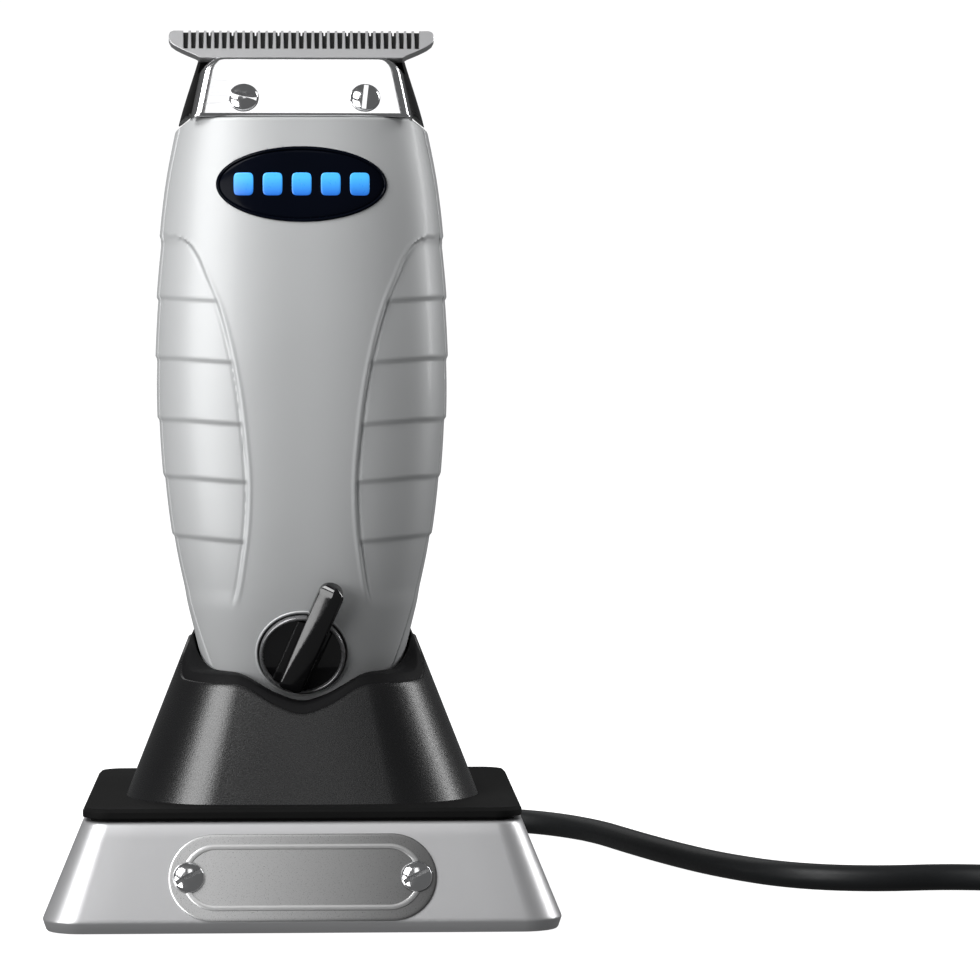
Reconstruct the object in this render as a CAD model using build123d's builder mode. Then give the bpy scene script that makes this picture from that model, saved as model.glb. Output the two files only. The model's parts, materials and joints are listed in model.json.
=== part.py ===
"""Cordless T-blade hair clipper standing in its charging stand, with the stand's supply lead.

Millimetres, +Z up. The origin is on the table under the middle of the stand, and the clipper's face
looks towards -Y. The clipper stands at rest in the stand's well and lifts out upwards.
"""
import math
import os

from build123d import *

os.makedirs("parts", exist_ok=True)

# ---------------------------------------------------------------- driving dimensions: the stand
FOOT_HEIGHT = 0.6                    # rubber feet lift the base off the table
BASE_WIDTH, BASE_DEPTH = 77.4, 73.0  # silver base where it is widest, just above its foot
BASE_TOP_WIDTH, BASE_TOP_DEPTH = 65.8, 61.0
BASE_TOP = 16.1
BASE_RIM = 1.4                       # height of the bevel round the foot
BASE_CORNER = 4.0
BASE_WALL = 2.0
DECK_BOTTOM, DECK_TOP = 16.7, 18.1   # black plate, with a dark gap under it
DECK_INSET = 1.2                     # how far the gap's step lies inside the plate
COVER_THICKNESS = 1.6
CUP_WIDTH, CUP_DEPTH, CUP_CORNER = 54.0, 46.4, 8.0
CUP_TOP = 44.0
CUP_TOP_WIDTH = 33.6
CUP_TOP_FRONT, CUP_TOP_BACK = -9.6, 16.2
CUP_WALL = 2.0
RIM_FRONT, RIM_BACK = 37.2, 42.6     # height of the cup's rim at its front shoulders and its back
RIM_DIP = 32.6                       # lowest point of the rim, under the switch
WELL_GAP = 0.4                       # clearance round the clipper's tail
WELL_WALL = 1.4
WELL_FLOOR = 1.6
WINDOW = {"width": 34, "depth": 30, "y": 3, "corner": 6}   # through the base's top and the deck

# ---------------------------------------------------------------- driving dimensions: the clipper
TAIL = 13.0                          # bottom of the clipper's tail, on the floor of the well
HOUSING_TOP = 122.5
SHOULDER_TOP = 120.3                 # the housing's top corners are cut from here
SHOULDER_HALF_WIDTH = 17.3
HOUSING_WALL = 2.0
SEAM_Y = -7.5                        # plane between the front and the rear housing
BODY_SQUARENESS = 2.8                # exponent of the body's superellipse section
# height, half width, front face, back face: the clipper body's outline from tail to shoulders
BODY_STATIONS = [
    (TAIL, 9.6, -2.6, 9.4),
    (20.0, 11.3, -5.2, 10.4),
    (30.0, 13.7, -9.1, 11.9),
    (40.0, 16.1, -13.2, 13.4),
    (47.5, 17.9, -15.7, 14.6),
    (56.0, 19.9, -17.4, 15.9),
    (66.0, 21.5, -18.5, 17.1),
    (78.0, 22.6, -19.1, 17.9),
    (90.0, 22.7, -19.1, 18.0),
    (102.0, 22.1, -18.3, 17.1),
    (112.0, 21.0, -17.1, 15.3),
    (HOUSING_TOP, 19.1, -15.2, 12.2),
]
BLADE_TILT = 24.0                    # the blade leans back from the clipper's axis
BLADE_TIP_Y, BLADE_TIP_Z = -7.0, 135.5
BLADE_WIDTH = 40.6
BLADE_BAR = 4.7                      # height of the T's bar, teeth included
BLADE_LENGTH = 15.4
BLADE_NECK_WIDTH, BLADE_FOOT_WIDTH = 30.3, 34.2
BLADE_THICKNESS = 1.6
TOOTH_PITCH, TOOTH_GAP, TOOTH_LENGTH = 1.18, 0.52, 3.3
TOOTH_COUNT = 31
CUTTER_WIDTH, CUTTER_THICKNESS = 36.0, 1.3
CUTTER_STROKE = 1.0                  # each way from the middle
CUTTER_GAP = 0.02
BLADE_SCREW_X = (-8.8, 9.7)
BLADE_SCREW_V = -11.9                # along the blade, down from the tooth tips
BLADE_SCREW_RADIUS = 2.3
BADGE_WIDTH, BADGE_HEIGHT, BADGE_Z = 26.0, 11.5, 111.5
BADGE_RIM = 0.55
KNOB_Z, KNOB_TILT = 39.9, 22.0       # the face leans back towards the tail there
KNOB_DIAMETER = 13.2
LEVER_ANGLE = -22.0                  # lever at rest, turned towards +X from straight up
LEVER_WIDTH, LEVER_REACH = 3.8, 13.2
SWITCH_SHAFT_RADIUS = 2.5
RUNNING_GAP = 0.05
MOTOR_Y, MOTOR_RADIUS = -1.0, 10.2
MOTOR_BOTTOM, MOTOR_TOP = 90.5, 116.0
SHAFT_RADIUS, DRIVE_PIN_RADIUS = 1.0, 0.8
CELL_RADIUS, CELL_LENGTH, CELL_BOTTOM, CELL_Y = 7.1, 49.2, 40.5, 3.0

# ---------------------------------------------------------------- driving dimensions: the lead
CORD = 4.2                           # cord diameter
JACK_Z, JACK_Y = 8.8, 28.4
COIL_X, COIL_Y = 147.0, 20.0
COIL_RADIUS = 23.0                   # to the middle of the coil's band of turns
COIL_ACROSS, COIL_UP = 3 * CORD, 4 * CORD
TIE_WIDTH, TIE_THICKNESS = 7.0, 0.6
ADAPTER_LENGTH, ADAPTER_WIDTH, ADAPTER_HEIGHT = 34.0, 30.0, 24.0


def save(builder, name):
    """Labels a finished piece and writes it under its own name."""
    builder.part.label = name
    export_step(builder.part, f"parts/{name}.step")


def outline(half_width, front, back):
    """Points round one superellipse section of the clipper body."""
    middle, half_depth = (front + back) / 2, (back - front) / 2
    power = 2 / BODY_SQUARENESS
    points = []
    for step in range(24):
        turn = math.radians(15 * step)
        x = math.copysign(abs(math.cos(turn)) ** power, math.cos(turn))
        y = math.copysign(abs(math.sin(turn)) ** power, math.sin(turn))
        points.append((half_width * x, middle + half_depth * y))
    return points


def body_form(grow=0.0, bottom=TAIL, top=HOUSING_TOP):
    """The clipper body's form from bottom to top, moved outwards by grow."""
    with BuildPart() as form:
        for height, half_width, front, back in BODY_STATIONS:
            with BuildSketch(Plane.XY.offset(height)):
                with BuildLine():
                    Spline(outline(half_width + grow, front - grow, back + grow), periodic=True)
                make_face()
        loft()
        if bottom > TAIL:
            split(bisect_by=Plane.XY.offset(bottom), keep=Keep.TOP)
        if top < HOUSING_TOP:
            split(bisect_by=Plane.XY.offset(top), keep=Keep.BOTTOM)
    return form.part


def slab(bottom, top, width, depth, x=0.0, y=0.0, corner=0.0):
    """An upright block between two heights, with rounded upright corners."""
    with BuildPart() as block:
        with BuildSketch(Plane.XY.offset(bottom)):
            with Locations((x, y)):
                if corner:
                    RectangleRounded(width, depth, corner)
                else:
                    Rectangle(width, depth)
        extrude(amount=top - bottom)
    return block.part


def frustum(bottom, top, foot, head, foot_corner, head_corner, foot_y=0.0, head_y=0.0):
    """A tapered block between two rounded rectangles, each given as (width, depth)."""
    with BuildPart() as block:
        with BuildSketch(Plane.XY.offset(bottom)):
            with Locations((0, foot_y)):
                RectangleRounded(*foot, foot_corner)
        with BuildSketch(Plane.XY.offset(top)):
            with Locations((0, head_y)):
                RectangleRounded(*head, head_corner)
        loft()
    return block.part


# ---------------------------------------------------------------- work planes
blade_tilt = math.radians(BLADE_TILT)
blade_normal = Vector(0, -math.cos(blade_tilt), math.sin(blade_tilt))
blade_face = Plane(origin=(0, BLADE_TIP_Y, BLADE_TIP_Z), x_dir=(1, 0, 0), z_dir=blade_normal)

knob_tilt = math.radians(KNOB_TILT)
knob_normal = Vector(0, -math.cos(knob_tilt), -math.sin(knob_tilt))
knob_face = Plane(origin=(0, -13.15, KNOB_Z), x_dir=(1, 0, 0), z_dir=knob_normal)

base_rise = BASE_TOP - FOOT_HEIGHT - BASE_RIM
base_lean = math.atan((BASE_DEPTH - BASE_TOP_DEPTH) / 2 / base_rise)
label_normal = Vector(0, -math.cos(base_lean), math.sin(base_lean))
LABEL_Z = 8.2
label_y = -BASE_DEPTH / 2 + (LABEL_Z - FOOT_HEIGHT - BASE_RIM) * math.tan(base_lean)
label_face = Plane(origin=(0, label_y, LABEL_Z), x_dir=(1, 0, 0), z_dir=label_normal)

# ================================================================ the stand
LABEL_WIDTH, LABEL_HEIGHT, LABEL_SUNK, LABEL_THICK = 39.8, 13.4, 0.6, 0.9
LABEL_SCREW_X, LABEL_SCREW_RADIUS = 16.9, 2.35

# Silver base: a hollow frustum with a bevelled foot, a sunk field for its badge plate, a window in
# its top for the well and a round hole in its back for the supply plug.
with BuildPart() as stand_base_shell:
    add(frustum(FOOT_HEIGHT, FOOT_HEIGHT + BASE_RIM, (BASE_WIDTH - 1.2, BASE_DEPTH - 1.2),
                (BASE_WIDTH, BASE_DEPTH), BASE_CORNER, BASE_CORNER))
    add(frustum(FOOT_HEIGHT + BASE_RIM, BASE_TOP, (BASE_WIDTH, BASE_DEPTH),
                (BASE_TOP_WIDTH, BASE_TOP_DEPTH), BASE_CORNER, BASE_CORNER))
    add(frustum(FOOT_HEIGHT, BASE_TOP - 1.8,
                (BASE_WIDTH - 2 * BASE_WALL - 1.2, BASE_DEPTH - 2 * BASE_WALL - 1.2),
                (BASE_TOP_WIDTH - 2 * BASE_WALL, BASE_TOP_DEPTH - 2 * BASE_WALL), 2.5, 2.5),
        mode=Mode.SUBTRACT)
    add(slab(BASE_TOP - 3, BASE_TOP + 1, **WINDOW), mode=Mode.SUBTRACT)
    with BuildSketch(label_face):
        SlotOverall(LABEL_WIDTH + 0.3, LABEL_HEIGHT + 0.3)
    extrude(amount=-LABEL_SUNK, mode=Mode.SUBTRACT)
    with BuildSketch(label_face):
        with Locations((-LABEL_SCREW_X, 0), (LABEL_SCREW_X, 0)):
            Circle(1.1)
    extrude(amount=-6, mode=Mode.SUBTRACT)
    with BuildSketch(Plane.XZ.offset(-JACK_Y + 5)):
        with Locations((0, JACK_Z)):
            Circle(4.8)
    extrude(amount=-20, mode=Mode.SUBTRACT)
save(stand_base_shell, "stand_base_shell")

# Badge plate: a stadium with a raised edge line broken at its ends, left without any lettering.
with BuildPart() as stand_badge_plate:
    with BuildSketch(label_face.offset(-LABEL_SUNK)):
        SlotOverall(LABEL_WIDTH, LABEL_HEIGHT)
        with Locations((-LABEL_SCREW_X, 0), (LABEL_SCREW_X, 0)):
            Circle(1.2, mode=Mode.SUBTRACT)
    extrude(amount=LABEL_THICK)
    with BuildSketch(label_face.offset(LABEL_THICK - LABEL_SUNK)):
        SlotOverall(LABEL_WIDTH - 4.0, LABEL_HEIGHT - 3.2)
        SlotOverall(LABEL_WIDTH - 5.6, LABEL_HEIGHT - 4.8, mode=Mode.SUBTRACT)
        Rectangle(LABEL_WIDTH, 4.6, mode=Mode.SUBTRACT)
    extrude(amount=0.15)
save(stand_badge_plate, "stand_badge_plate")


def slotted_screw(face, x, y, radius, height, shank_radius, shank_length, slot_angle):
    """A domed slotted screw standing on a face, its slot turned by slot_angle."""
    spot = Plane(face.from_local_coords((x, y, 0)), x_dir=face.x_dir, z_dir=face.z_dir)
    with BuildPart() as screw:
        with BuildSketch(spot):
            Circle(radius)
        extrude(amount=height)
        fillet(screw.faces().sort_by(Axis(spot.origin, spot.z_dir))[-1].edges(), height * 0.8)
        with BuildSketch(spot.offset(height * 0.4)):
            Rectangle(3 * radius, 0.3 * radius, rotation=slot_angle)
        extrude(amount=height, mode=Mode.SUBTRACT)
        with BuildSketch(spot):
            Circle(shank_radius)
        extrude(amount=-shank_length)
    return screw.part


with BuildPart() as stand_badge_screws:
    for side in (-1, 1):
        add(slotted_screw(label_face.offset(LABEL_THICK - LABEL_SUNK), side * LABEL_SCREW_X, 0,
                          LABEL_SCREW_RADIUS, 0.9, 1.05, 3.5, 28))
save(stand_badge_screws, "stand_badge_screws")

# Deck: the black plate on the base, on a step that leaves a dark gap, with a window for the well.
with BuildPart() as stand_deck:
    add(slab(BASE_TOP, DECK_BOTTOM, BASE_TOP_WIDTH - 2 * DECK_INSET,
             BASE_TOP_DEPTH - 2 * DECK_INSET, corner=3))
    add(slab(DECK_BOTTOM, DECK_TOP, BASE_TOP_WIDTH, BASE_TOP_DEPTH, corner=BASE_CORNER))
    chamfer(stand_deck.faces().sort_by(Axis.Z)[-1].edges(), 0.5)
    add(slab(BASE_TOP - 1, DECK_TOP + 1, **WINDOW), mode=Mode.SUBTRACT)
save(stand_deck, "stand_deck")


def rim_cutter():
    """Everything above the cup's rim: the rim climbs from its front shoulders to its back."""
    with BuildPart() as cutter:
        with BuildSketch(Plane.YZ.offset(-40)):
            with BuildLine():
                Polyline((-40, 60), (-40, RIM_FRONT), (-9.5, RIM_FRONT))
                Spline((-9.5, RIM_FRONT), (-2.5, RIM_BACK - 1.8), (5, RIM_BACK),
                       tangents=((1, 0), (1, 0)))
                Polyline((5, RIM_BACK), (40, RIM_BACK), (40, 60), (-40, 60))
            make_face()
        extrude(amount=80)
        with BuildSketch(Plane.XZ.offset(4)):
            with BuildLine():
                Spline((-10.5, RIM_FRONT + 0.6), (-7.6, RIM_FRONT - 1.3), (-4, RIM_DIP + 1.2),
                       (0, RIM_DIP), (4, RIM_DIP + 1.2), (7.6, RIM_FRONT - 1.3),
                       (10.5, RIM_FRONT + 0.6))
                Line((10.5, RIM_FRONT + 0.6), (-10.5, RIM_FRONT + 0.6))
            make_face()
        extrude(amount=30)
    return cutter.part


def cup_block(inset=0.0, top=CUP_TOP):
    """The cup's outer form, or the space inside its walls when inset."""
    return frustum(DECK_TOP, top, (CUP_WIDTH - 2 * inset, CUP_DEPTH - 2 * inset),
                   (CUP_TOP_WIDTH - 2 * inset, CUP_TOP_BACK - CUP_TOP_FRONT - 2 * inset),
                   CUP_CORNER - inset, CUP_CORNER - inset, head_y=(CUP_TOP_BACK + CUP_TOP_FRONT) / 2)


well_outer = body_form(WELL_GAP + WELL_WALL, top=CUP_TOP)
well_inner = body_form(WELL_GAP, top=CUP_TOP)

# Cup: the black shroud, hollow below, open at the top where the well comes through.
with BuildPart() as stand_cup:
    add(cup_block())
    add(rim_cutter(), mode=Mode.SUBTRACT)
    add(well_outer, mode=Mode.SUBTRACT)
    with BuildPart(mode=Mode.PRIVATE) as hollow:
        add(cup_block(CUP_WALL))
        split(bisect_by=Plane.XY.offset(30), keep=Keep.BOTTOM)
    add(hollow.part, mode=Mode.SUBTRACT)
    solids = stand_cup.solids().sort_by(SortBy.VOLUME)
    for scrap in solids[:-1]:
        add(scrap, mode=Mode.SUBTRACT)
save(stand_cup, "stand_cup")

PIN_X, PIN_Y = 5.0, 3.4
PIN_RADIUS, PIN_FLANGE, PIN_TRAVEL = 1.0, 1.6, 1.0

# Well: the sleeve that takes the clipper's tail, its floor pierced for the two contact pins.
with BuildPart() as stand_well:
    add(well_outer)
    add(slab(TAIL - WELL_FLOOR, TAIL, 2 * (9.6 + WELL_GAP + WELL_WALL) - 1, 13.4, y=3.4, corner=4.5))
    add(well_inner, mode=Mode.SUBTRACT)
    add(rim_cutter(), mode=Mode.SUBTRACT)
    with BuildPart(mode=Mode.PRIVATE) as outside:
        add(slab(DECK_TOP, CUP_TOP + 4, 90, 90))
        add(cup_block(), mode=Mode.SUBTRACT)
    add(outside.part, mode=Mode.SUBTRACT)
    with BuildSketch(Plane.XY.offset(TAIL - WELL_FLOOR - 1)):
        with Locations((-PIN_X, PIN_Y), (PIN_X, PIN_Y)):
            Circle(PIN_RADIUS + RUNNING_GAP)
    extrude(amount=5, mode=Mode.SUBTRACT)
save(stand_well, "stand_well")

# Contact block: a moulded block under the well with a bore for each pin and its spring.
BLOCK_TOP, BLOCK_BOTTOM = TAIL - WELL_FLOOR, 4.4
SPRING_SEAT = BLOCK_BOTTOM + 1.0
FLANGE_TOP = BLOCK_TOP - 0.1
with BuildPart() as contact_block:
    add(slab(BLOCK_BOTTOM, BLOCK_TOP, 17.5, 7.5, y=PIN_Y, corner=1))
    with BuildSketch(Plane.XY.offset(SPRING_SEAT)):
        with Locations((-PIN_X, PIN_Y), (PIN_X, PIN_Y)):
            Circle(PIN_FLANGE + 0.25)
    extrude(amount=10, mode=Mode.SUBTRACT)
save(contact_block, "contact_block")

SPRING_TOP = FLANGE_TOP - 1.2
SPRING_WIRE, SPRING_TURNS, SPRING_RADIUS = 0.32, 4, 1.2
for side, word in ((-1, "left"), (1, "right")):
    with BuildPart() as contact_pin:
        with BuildSketch(Plane.XY.offset(SPRING_TOP)):
            with Locations((side * PIN_X, PIN_Y)):
                Circle(PIN_FLANGE)
        extrude(amount=FLANGE_TOP - SPRING_TOP)
        with BuildSketch(Plane.XY.offset(FLANGE_TOP)):
            with Locations((side * PIN_X, PIN_Y)):
                Circle(PIN_RADIUS)
        extrude(amount=TAIL - FLANGE_TOP - 0.02)
        tip = contact_pin.edges().filter_by(GeomType.CIRCLE).sort_by(Axis.Z)[-1]
        fillet(tip, 0.4)
    save(contact_pin, f"contact_pin_{word}")

    with BuildPart() as pin_spring:
        coil_height = SPRING_TOP - SPRING_SEAT - SPRING_WIRE - 0.06
        with BuildLine(Plane((side * PIN_X, PIN_Y, SPRING_SEAT + SPRING_WIRE / 2 + 0.03))) as coil_line:
            Helix(pitch=coil_height / SPRING_TURNS, height=coil_height, radius=SPRING_RADIUS)
        with BuildSketch(Plane(coil_line.line @ 0, z_dir=coil_line.line % 0)):
            Circle(SPRING_WIRE / 2)
        sweep(path=coil_line.line, is_frenet=True)
    save(pin_spring, f"pin_spring_{word}")

# Bottom cover, its screws, the feet, and what stands on the cover inside the base.
COVER_TOP = FOOT_HEIGHT + COVER_THICKNESS
COVER_SCREWS = GridLocations(56, 52, 2, 2)
with BuildPart() as stand_bottom_cover:
    add(slab(FOOT_HEIGHT, COVER_TOP, BASE_WIDTH - 2 * BASE_WALL - 3.0,
             BASE_DEPTH - 2 * BASE_WALL - 3.0, corner=2.5))
    with BuildSketch(Plane.XY.offset(FOOT_HEIGHT)):
        with COVER_SCREWS:
            Circle(2.2)
    extrude(amount=0.8, mode=Mode.SUBTRACT)
    with BuildSketch(Plane.XY.offset(FOOT_HEIGHT)):
        with COVER_SCREWS:
            Circle(1.15)
    extrude(amount=COVER_THICKNESS, mode=Mode.SUBTRACT)
save(stand_bottom_cover, "stand_bottom_cover")

with BuildPart() as bottom_cover_screws:
    with BuildSketch(Plane.XY.offset(FOOT_HEIGHT + 0.1)):
        with COVER_SCREWS:
            Circle(2.0)
    extrude(amount=0.7)
    with BuildSketch(Plane.XY.offset(FOOT_HEIGHT + 0.8)):
        with COVER_SCREWS:
            Circle(1.1)
    extrude(amount=5)
    with BuildSketch(Plane.XY.offset(FOOT_HEIGHT + 0.1)):
        with COVER_SCREWS:
            Rectangle(2.6, 0.5)
            Rectangle(0.5, 2.6)
    extrude(amount=0.4, mode=Mode.SUBTRACT)
save(bottom_cover_screws, "bottom_cover_screws")

with BuildPart() as stand_feet:
    with BuildSketch():
        with GridLocations(57, 34, 2, 2):
            Circle(4.5)
    extrude(amount=FOOT_HEIGHT)
save(stand_feet, "stand_feet")

BALLAST_THICKNESS = 1.8
with BuildPart() as stand_ballast:
    with BuildSketch(Plane.XY.offset(COVER_TOP)):
        with Locations((0, -1)):
            RectangleRounded(50, 44, 2)
        with COVER_SCREWS:
            Circle(4, mode=Mode.SUBTRACT)
    extrude(amount=BALLAST_THICKNESS)
save(stand_ballast, "stand_ballast")

STAND_BOARD_X, STAND_BOARD_BOTTOM, STAND_BOARD_TOP = -19.5, 5.2, 6.6
with BuildPart() as stand_circuit_board:
    add(slab(STAND_BOARD_BOTTOM, STAND_BOARD_TOP, 13, 34, x=STAND_BOARD_X, y=4))
    with BuildSketch(Plane.XY.offset(STAND_BOARD_TOP)):
        with Locations((-21, -5), (-18, 10)):
            Rectangle(5, 5)
        with Locations((-22, 3)):
            Circle(2)
    extrude(amount=2.2)
save(stand_circuit_board, "stand_circuit_board")

with BuildPart() as board_standoffs:
    with BuildSketch(Plane.XY.offset(COVER_TOP + BALLAST_THICKNESS)):
        with Locations((STAND_BOARD_X, -9), (STAND_BOARD_X, 17)):
            Circle(1.8)
    extrude(amount=STAND_BOARD_BOTTOM - COVER_TOP - BALLAST_THICKNESS)
save(board_standoffs, "board_standoffs")

JACK_WIDTH, JACK_HEIGHT, JACK_BORE, JACK_BORE_DEPTH, JACK_END = 9.0, 8.4, 3.2, 10.5, 2.5
with BuildPart() as dc_jack:
    with BuildSketch(Plane.XZ.offset(-JACK_Y)):
        with Locations((0, JACK_Z)):
            Rectangle(JACK_WIDTH, JACK_HEIGHT)
            Circle(JACK_BORE, mode=Mode.SUBTRACT)
    extrude(amount=JACK_BORE_DEPTH)
    add(slab(JACK_Z - JACK_HEIGHT / 2, JACK_Z + JACK_HEIGHT / 2, JACK_WIDTH, JACK_END,
             y=JACK_Y - JACK_BORE_DEPTH - JACK_END / 2))
    with BuildSketch(Plane.XZ.offset(-JACK_Y + JACK_BORE_DEPTH)):
        with Locations((0, JACK_Z)):
            Circle(0.9)
    extrude(amount=-9)
save(dc_jack, "dc_jack")

# ================================================================ the clipper's housing
SWITCH_RECESS, SWITCH_RECESS_DEPTH = KNOB_DIAMETER / 2 + 0.5, 1.6
SWITCH_BOSS_DEPTH = 5.6
HOUSING_SCREWS = ((-14.6, 98.0), (14.6, 98.0), (0.0, 28.0))
POST_RADIUS, POST_SPLIT_Y = 2.6, 2.0

outer_form = body_form()
cavity = body_form(-HOUSING_WALL, bottom=TAIL + HOUSING_WALL)
core = body_form(-HOUSING_WALL / 2, bottom=TAIL + HOUSING_WALL / 2)


def shoulder_cutters():
    """The two wedges that the housing's top corners lose."""
    with BuildPart() as wedges:
        with BuildSketch(Plane.XZ.offset(-30)):
            with BuildLine():
                Polyline((SHOULDER_HALF_WIDTH, HOUSING_TOP + 0.01), (26, HOUSING_TOP + 0.01),
                         (26, SHOULDER_TOP - 5), (SHOULDER_HALF_WIDTH + 3.2, SHOULDER_TOP - 0.9),
                         (SHOULDER_HALF_WIDTH, HOUSING_TOP + 0.01))
            make_face()
        extrude(amount=60)
        mirror(about=Plane.YZ)
    return wedges.part


def screw_posts(front):
    """Posts for the housing screws, on one side of the plane where they meet."""
    with BuildPart() as posts:
        with BuildSketch(Plane.XZ.offset(-POST_SPLIT_Y)):
            with Locations(*HOUSING_SCREWS):
                Circle(POST_RADIUS)
                Circle(1.0, mode=Mode.SUBTRACT)
        extrude(amount=25 if front else -25)
        add(core, mode=Mode.INTERSECT)
    return posts.part


shoulders = shoulder_cutters()
badge_plane = Plane.XZ.offset(30)

# Front housing: the face, with the oval window for the badge and the round recess for the switch.
with BuildPart() as front_housing:
    add(outer_form)
    add(cavity, mode=Mode.SUBTRACT)
    with BuildSketch(knob_face.offset(-1.0)):
        Circle(8.2)
    extrude(amount=-2.6)
    with BuildSketch(knob_face.offset(-1.0)):
        Circle(4.6)
    extrude(amount=-(SWITCH_BOSS_DEPTH - 1.0))
    split(bisect_by=Plane.XZ.offset(-SEAM_Y), keep=Keep.TOP)
    add(screw_posts(front=True))
    add(shoulders, mode=Mode.SUBTRACT)
    with BuildSketch(badge_plane):
        with Locations((0, BADGE_Z)):
            Ellipse(BADGE_WIDTH / 2, BADGE_HEIGHT / 2)
    extrude(amount=-18, mode=Mode.SUBTRACT)
    with BuildSketch(knob_face.offset(3)):
        Circle(SWITCH_RECESS)
    extrude(amount=-(3 + SWITCH_RECESS_DEPTH), mode=Mode.SUBTRACT)
    with BuildSketch(knob_face.offset(3)):
        Circle(SWITCH_SHAFT_RADIUS + RUNNING_GAP)
    extrude(amount=-14, mode=Mode.SUBTRACT)
save(front_housing, "front_housing")


def body_depth(x, z, front):
    """Where the clipper's front or back face lies at x and z, between the nearest two stations."""
    for low, high in zip(BODY_STATIONS, BODY_STATIONS[1:]):
        if low[0] <= z <= high[0]:
            share = (z - low[0]) / (high[0] - low[0])
            half_width, near, far = (a + (b - a) * share for a, b in zip(low[1:], high[1:]))
            break
    reach = (1 - (abs(x) / half_width) ** BODY_SQUARENESS) ** (1 / BODY_SQUARENESS)
    return (near + far) / 2 + (near - far) / 2 * (reach if front else -reach)


CONTACT_RADIUS, CONTACT_FLANGE = 1.5, 2.0

# Rear housing: the back, the sides and the tail, with holes for its screws and charge contacts.
with BuildPart() as rear_housing:
    add(outer_form)
    add(cavity, mode=Mode.SUBTRACT)
    split(bisect_by=Plane.XZ.offset(-SEAM_Y), keep=Keep.BOTTOM)
    add(screw_posts(front=False))
    add(shoulders, mode=Mode.SUBTRACT)
    for x, z in HOUSING_SCREWS:
        back = body_depth(x, z, front=False)
        with BuildSketch(Plane.XZ.offset(-back + 2.6)):
            with Locations((x, z)):
                Circle(2.1)
        extrude(amount=-12, mode=Mode.SUBTRACT)
        with BuildSketch(Plane.XZ.offset(-POST_SPLIT_Y)):
            with Locations((x, z)):
                Circle(1.05)
        extrude(amount=-14, mode=Mode.SUBTRACT)
    with BuildSketch(Plane.XY.offset(TAIL - 1)):
        with Locations((-PIN_X, PIN_Y), (PIN_X, PIN_Y)):
            Circle(CONTACT_RADIUS)
    extrude(amount=4, mode=Mode.SUBTRACT)
    add(front_housing.part, mode=Mode.SUBTRACT)
save(rear_housing, "rear_housing")

with BuildPart() as housing_screws:
    for x, z in HOUSING_SCREWS:
        seat = body_depth(x, z, front=False) - 2.6
        with BuildSketch(Plane.XZ.offset(-seat)):
            with Locations((x, z)):
                Circle(2.0)
        extrude(amount=-1.5)
        with BuildSketch(Plane.XZ.offset(-seat)):
            with Locations((x, z)):
                Circle(0.95)
        extrude(amount=seat - POST_SPLIT_Y + 4)
        with BuildSketch(Plane.XZ.offset(-seat - 0.8)):
            with Locations((x, z)):
                Rectangle(2.6, 0.5)
                Rectangle(0.5, 2.6)
        extrude(amount=-2, mode=Mode.SUBTRACT)
save(housing_screws, "housing_screws")

with BuildPart() as charge_contacts:
    with BuildSketch(Plane.XY.offset(TAIL)):
        with Locations((-PIN_X, PIN_Y), (PIN_X, PIN_Y)):
            Circle(CONTACT_RADIUS)
    extrude(amount=HOUSING_WALL)
    with BuildSketch(Plane.XY.offset(TAIL + HOUSING_WALL)):
        with Locations((-PIN_X, PIN_Y), (PIN_X, PIN_Y)):
            Circle(CONTACT_FLANGE)
    extrude(amount=0.5)
save(charge_contacts, "charge_contacts")


def skin_layer(inner, outer):
    """The upper part of a layer of the body's skin, between two offsets of its form."""
    with BuildPart() as layer:
        add(body_form(outer, bottom=BADGE_Z - 8))
        add(body_form(inner, bottom=BADGE_Z - 8), mode=Mode.SUBTRACT)
    return layer.part


BAR_COUNT, BAR_WIDTH, BAR_HEIGHT, BAR_PITCH = 5, 3.2, 4.2, 4.4
BADGE_DEPTH = 1.4

with BuildPart() as badge_bezel:
    with BuildSketch(badge_plane):
        with Locations((0, BADGE_Z)):
            Ellipse(BADGE_WIDTH / 2, BADGE_HEIGHT / 2)
            Ellipse(BADGE_WIDTH / 2 - BADGE_RIM, BADGE_HEIGHT / 2 - BADGE_RIM, mode=Mode.SUBTRACT)
    extrude(amount=-26)
    add(skin_layer(-BADGE_DEPTH, 0.3), mode=Mode.INTERSECT)
save(badge_bezel, "badge_bezel")

with BuildPart() as badge_lens:
    with BuildSketch(badge_plane):
        with Locations((0, BADGE_Z)):
            Ellipse(BADGE_WIDTH / 2 - BADGE_RIM, BADGE_HEIGHT / 2 - BADGE_RIM)
            with GridLocations(BAR_PITCH, 1, BAR_COUNT, 1):
                Rectangle(BAR_WIDTH, BAR_HEIGHT, mode=Mode.SUBTRACT)
    extrude(amount=-26)
    add(skin_layer(-BADGE_DEPTH, 0.15), mode=Mode.INTERSECT)
save(badge_lens, "badge_lens")

with BuildPart() as charge_light_bars:
    with BuildSketch(badge_plane):
        with Locations((0, BADGE_Z)):
            with GridLocations(BAR_PITCH, 1, BAR_COUNT, 1):
                Rectangle(BAR_WIDTH, BAR_HEIGHT)
    extrude(amount=-26)
    add(skin_layer(-BADGE_DEPTH, 0.15), mode=Mode.INTERSECT)
save(charge_light_bars, "charge_light_bars")

# ================================================================ the clipper's head and blades
# height, half width, front, back of the neck above the housing
NECK_STATIONS = [
    (119.5, 19.3, -14.9, 12.4),
    (123.4, 18.3, -13.6, 11.6),
    (127.3, 17.1, -11.4, 10.2),
    (131.2, 15.9, -8.8, 8.4),
]
CHANNEL_WIDTH, CHANNEL_TOP, CHANNEL_BACK = 14.4, 129.9, 4.6

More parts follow.
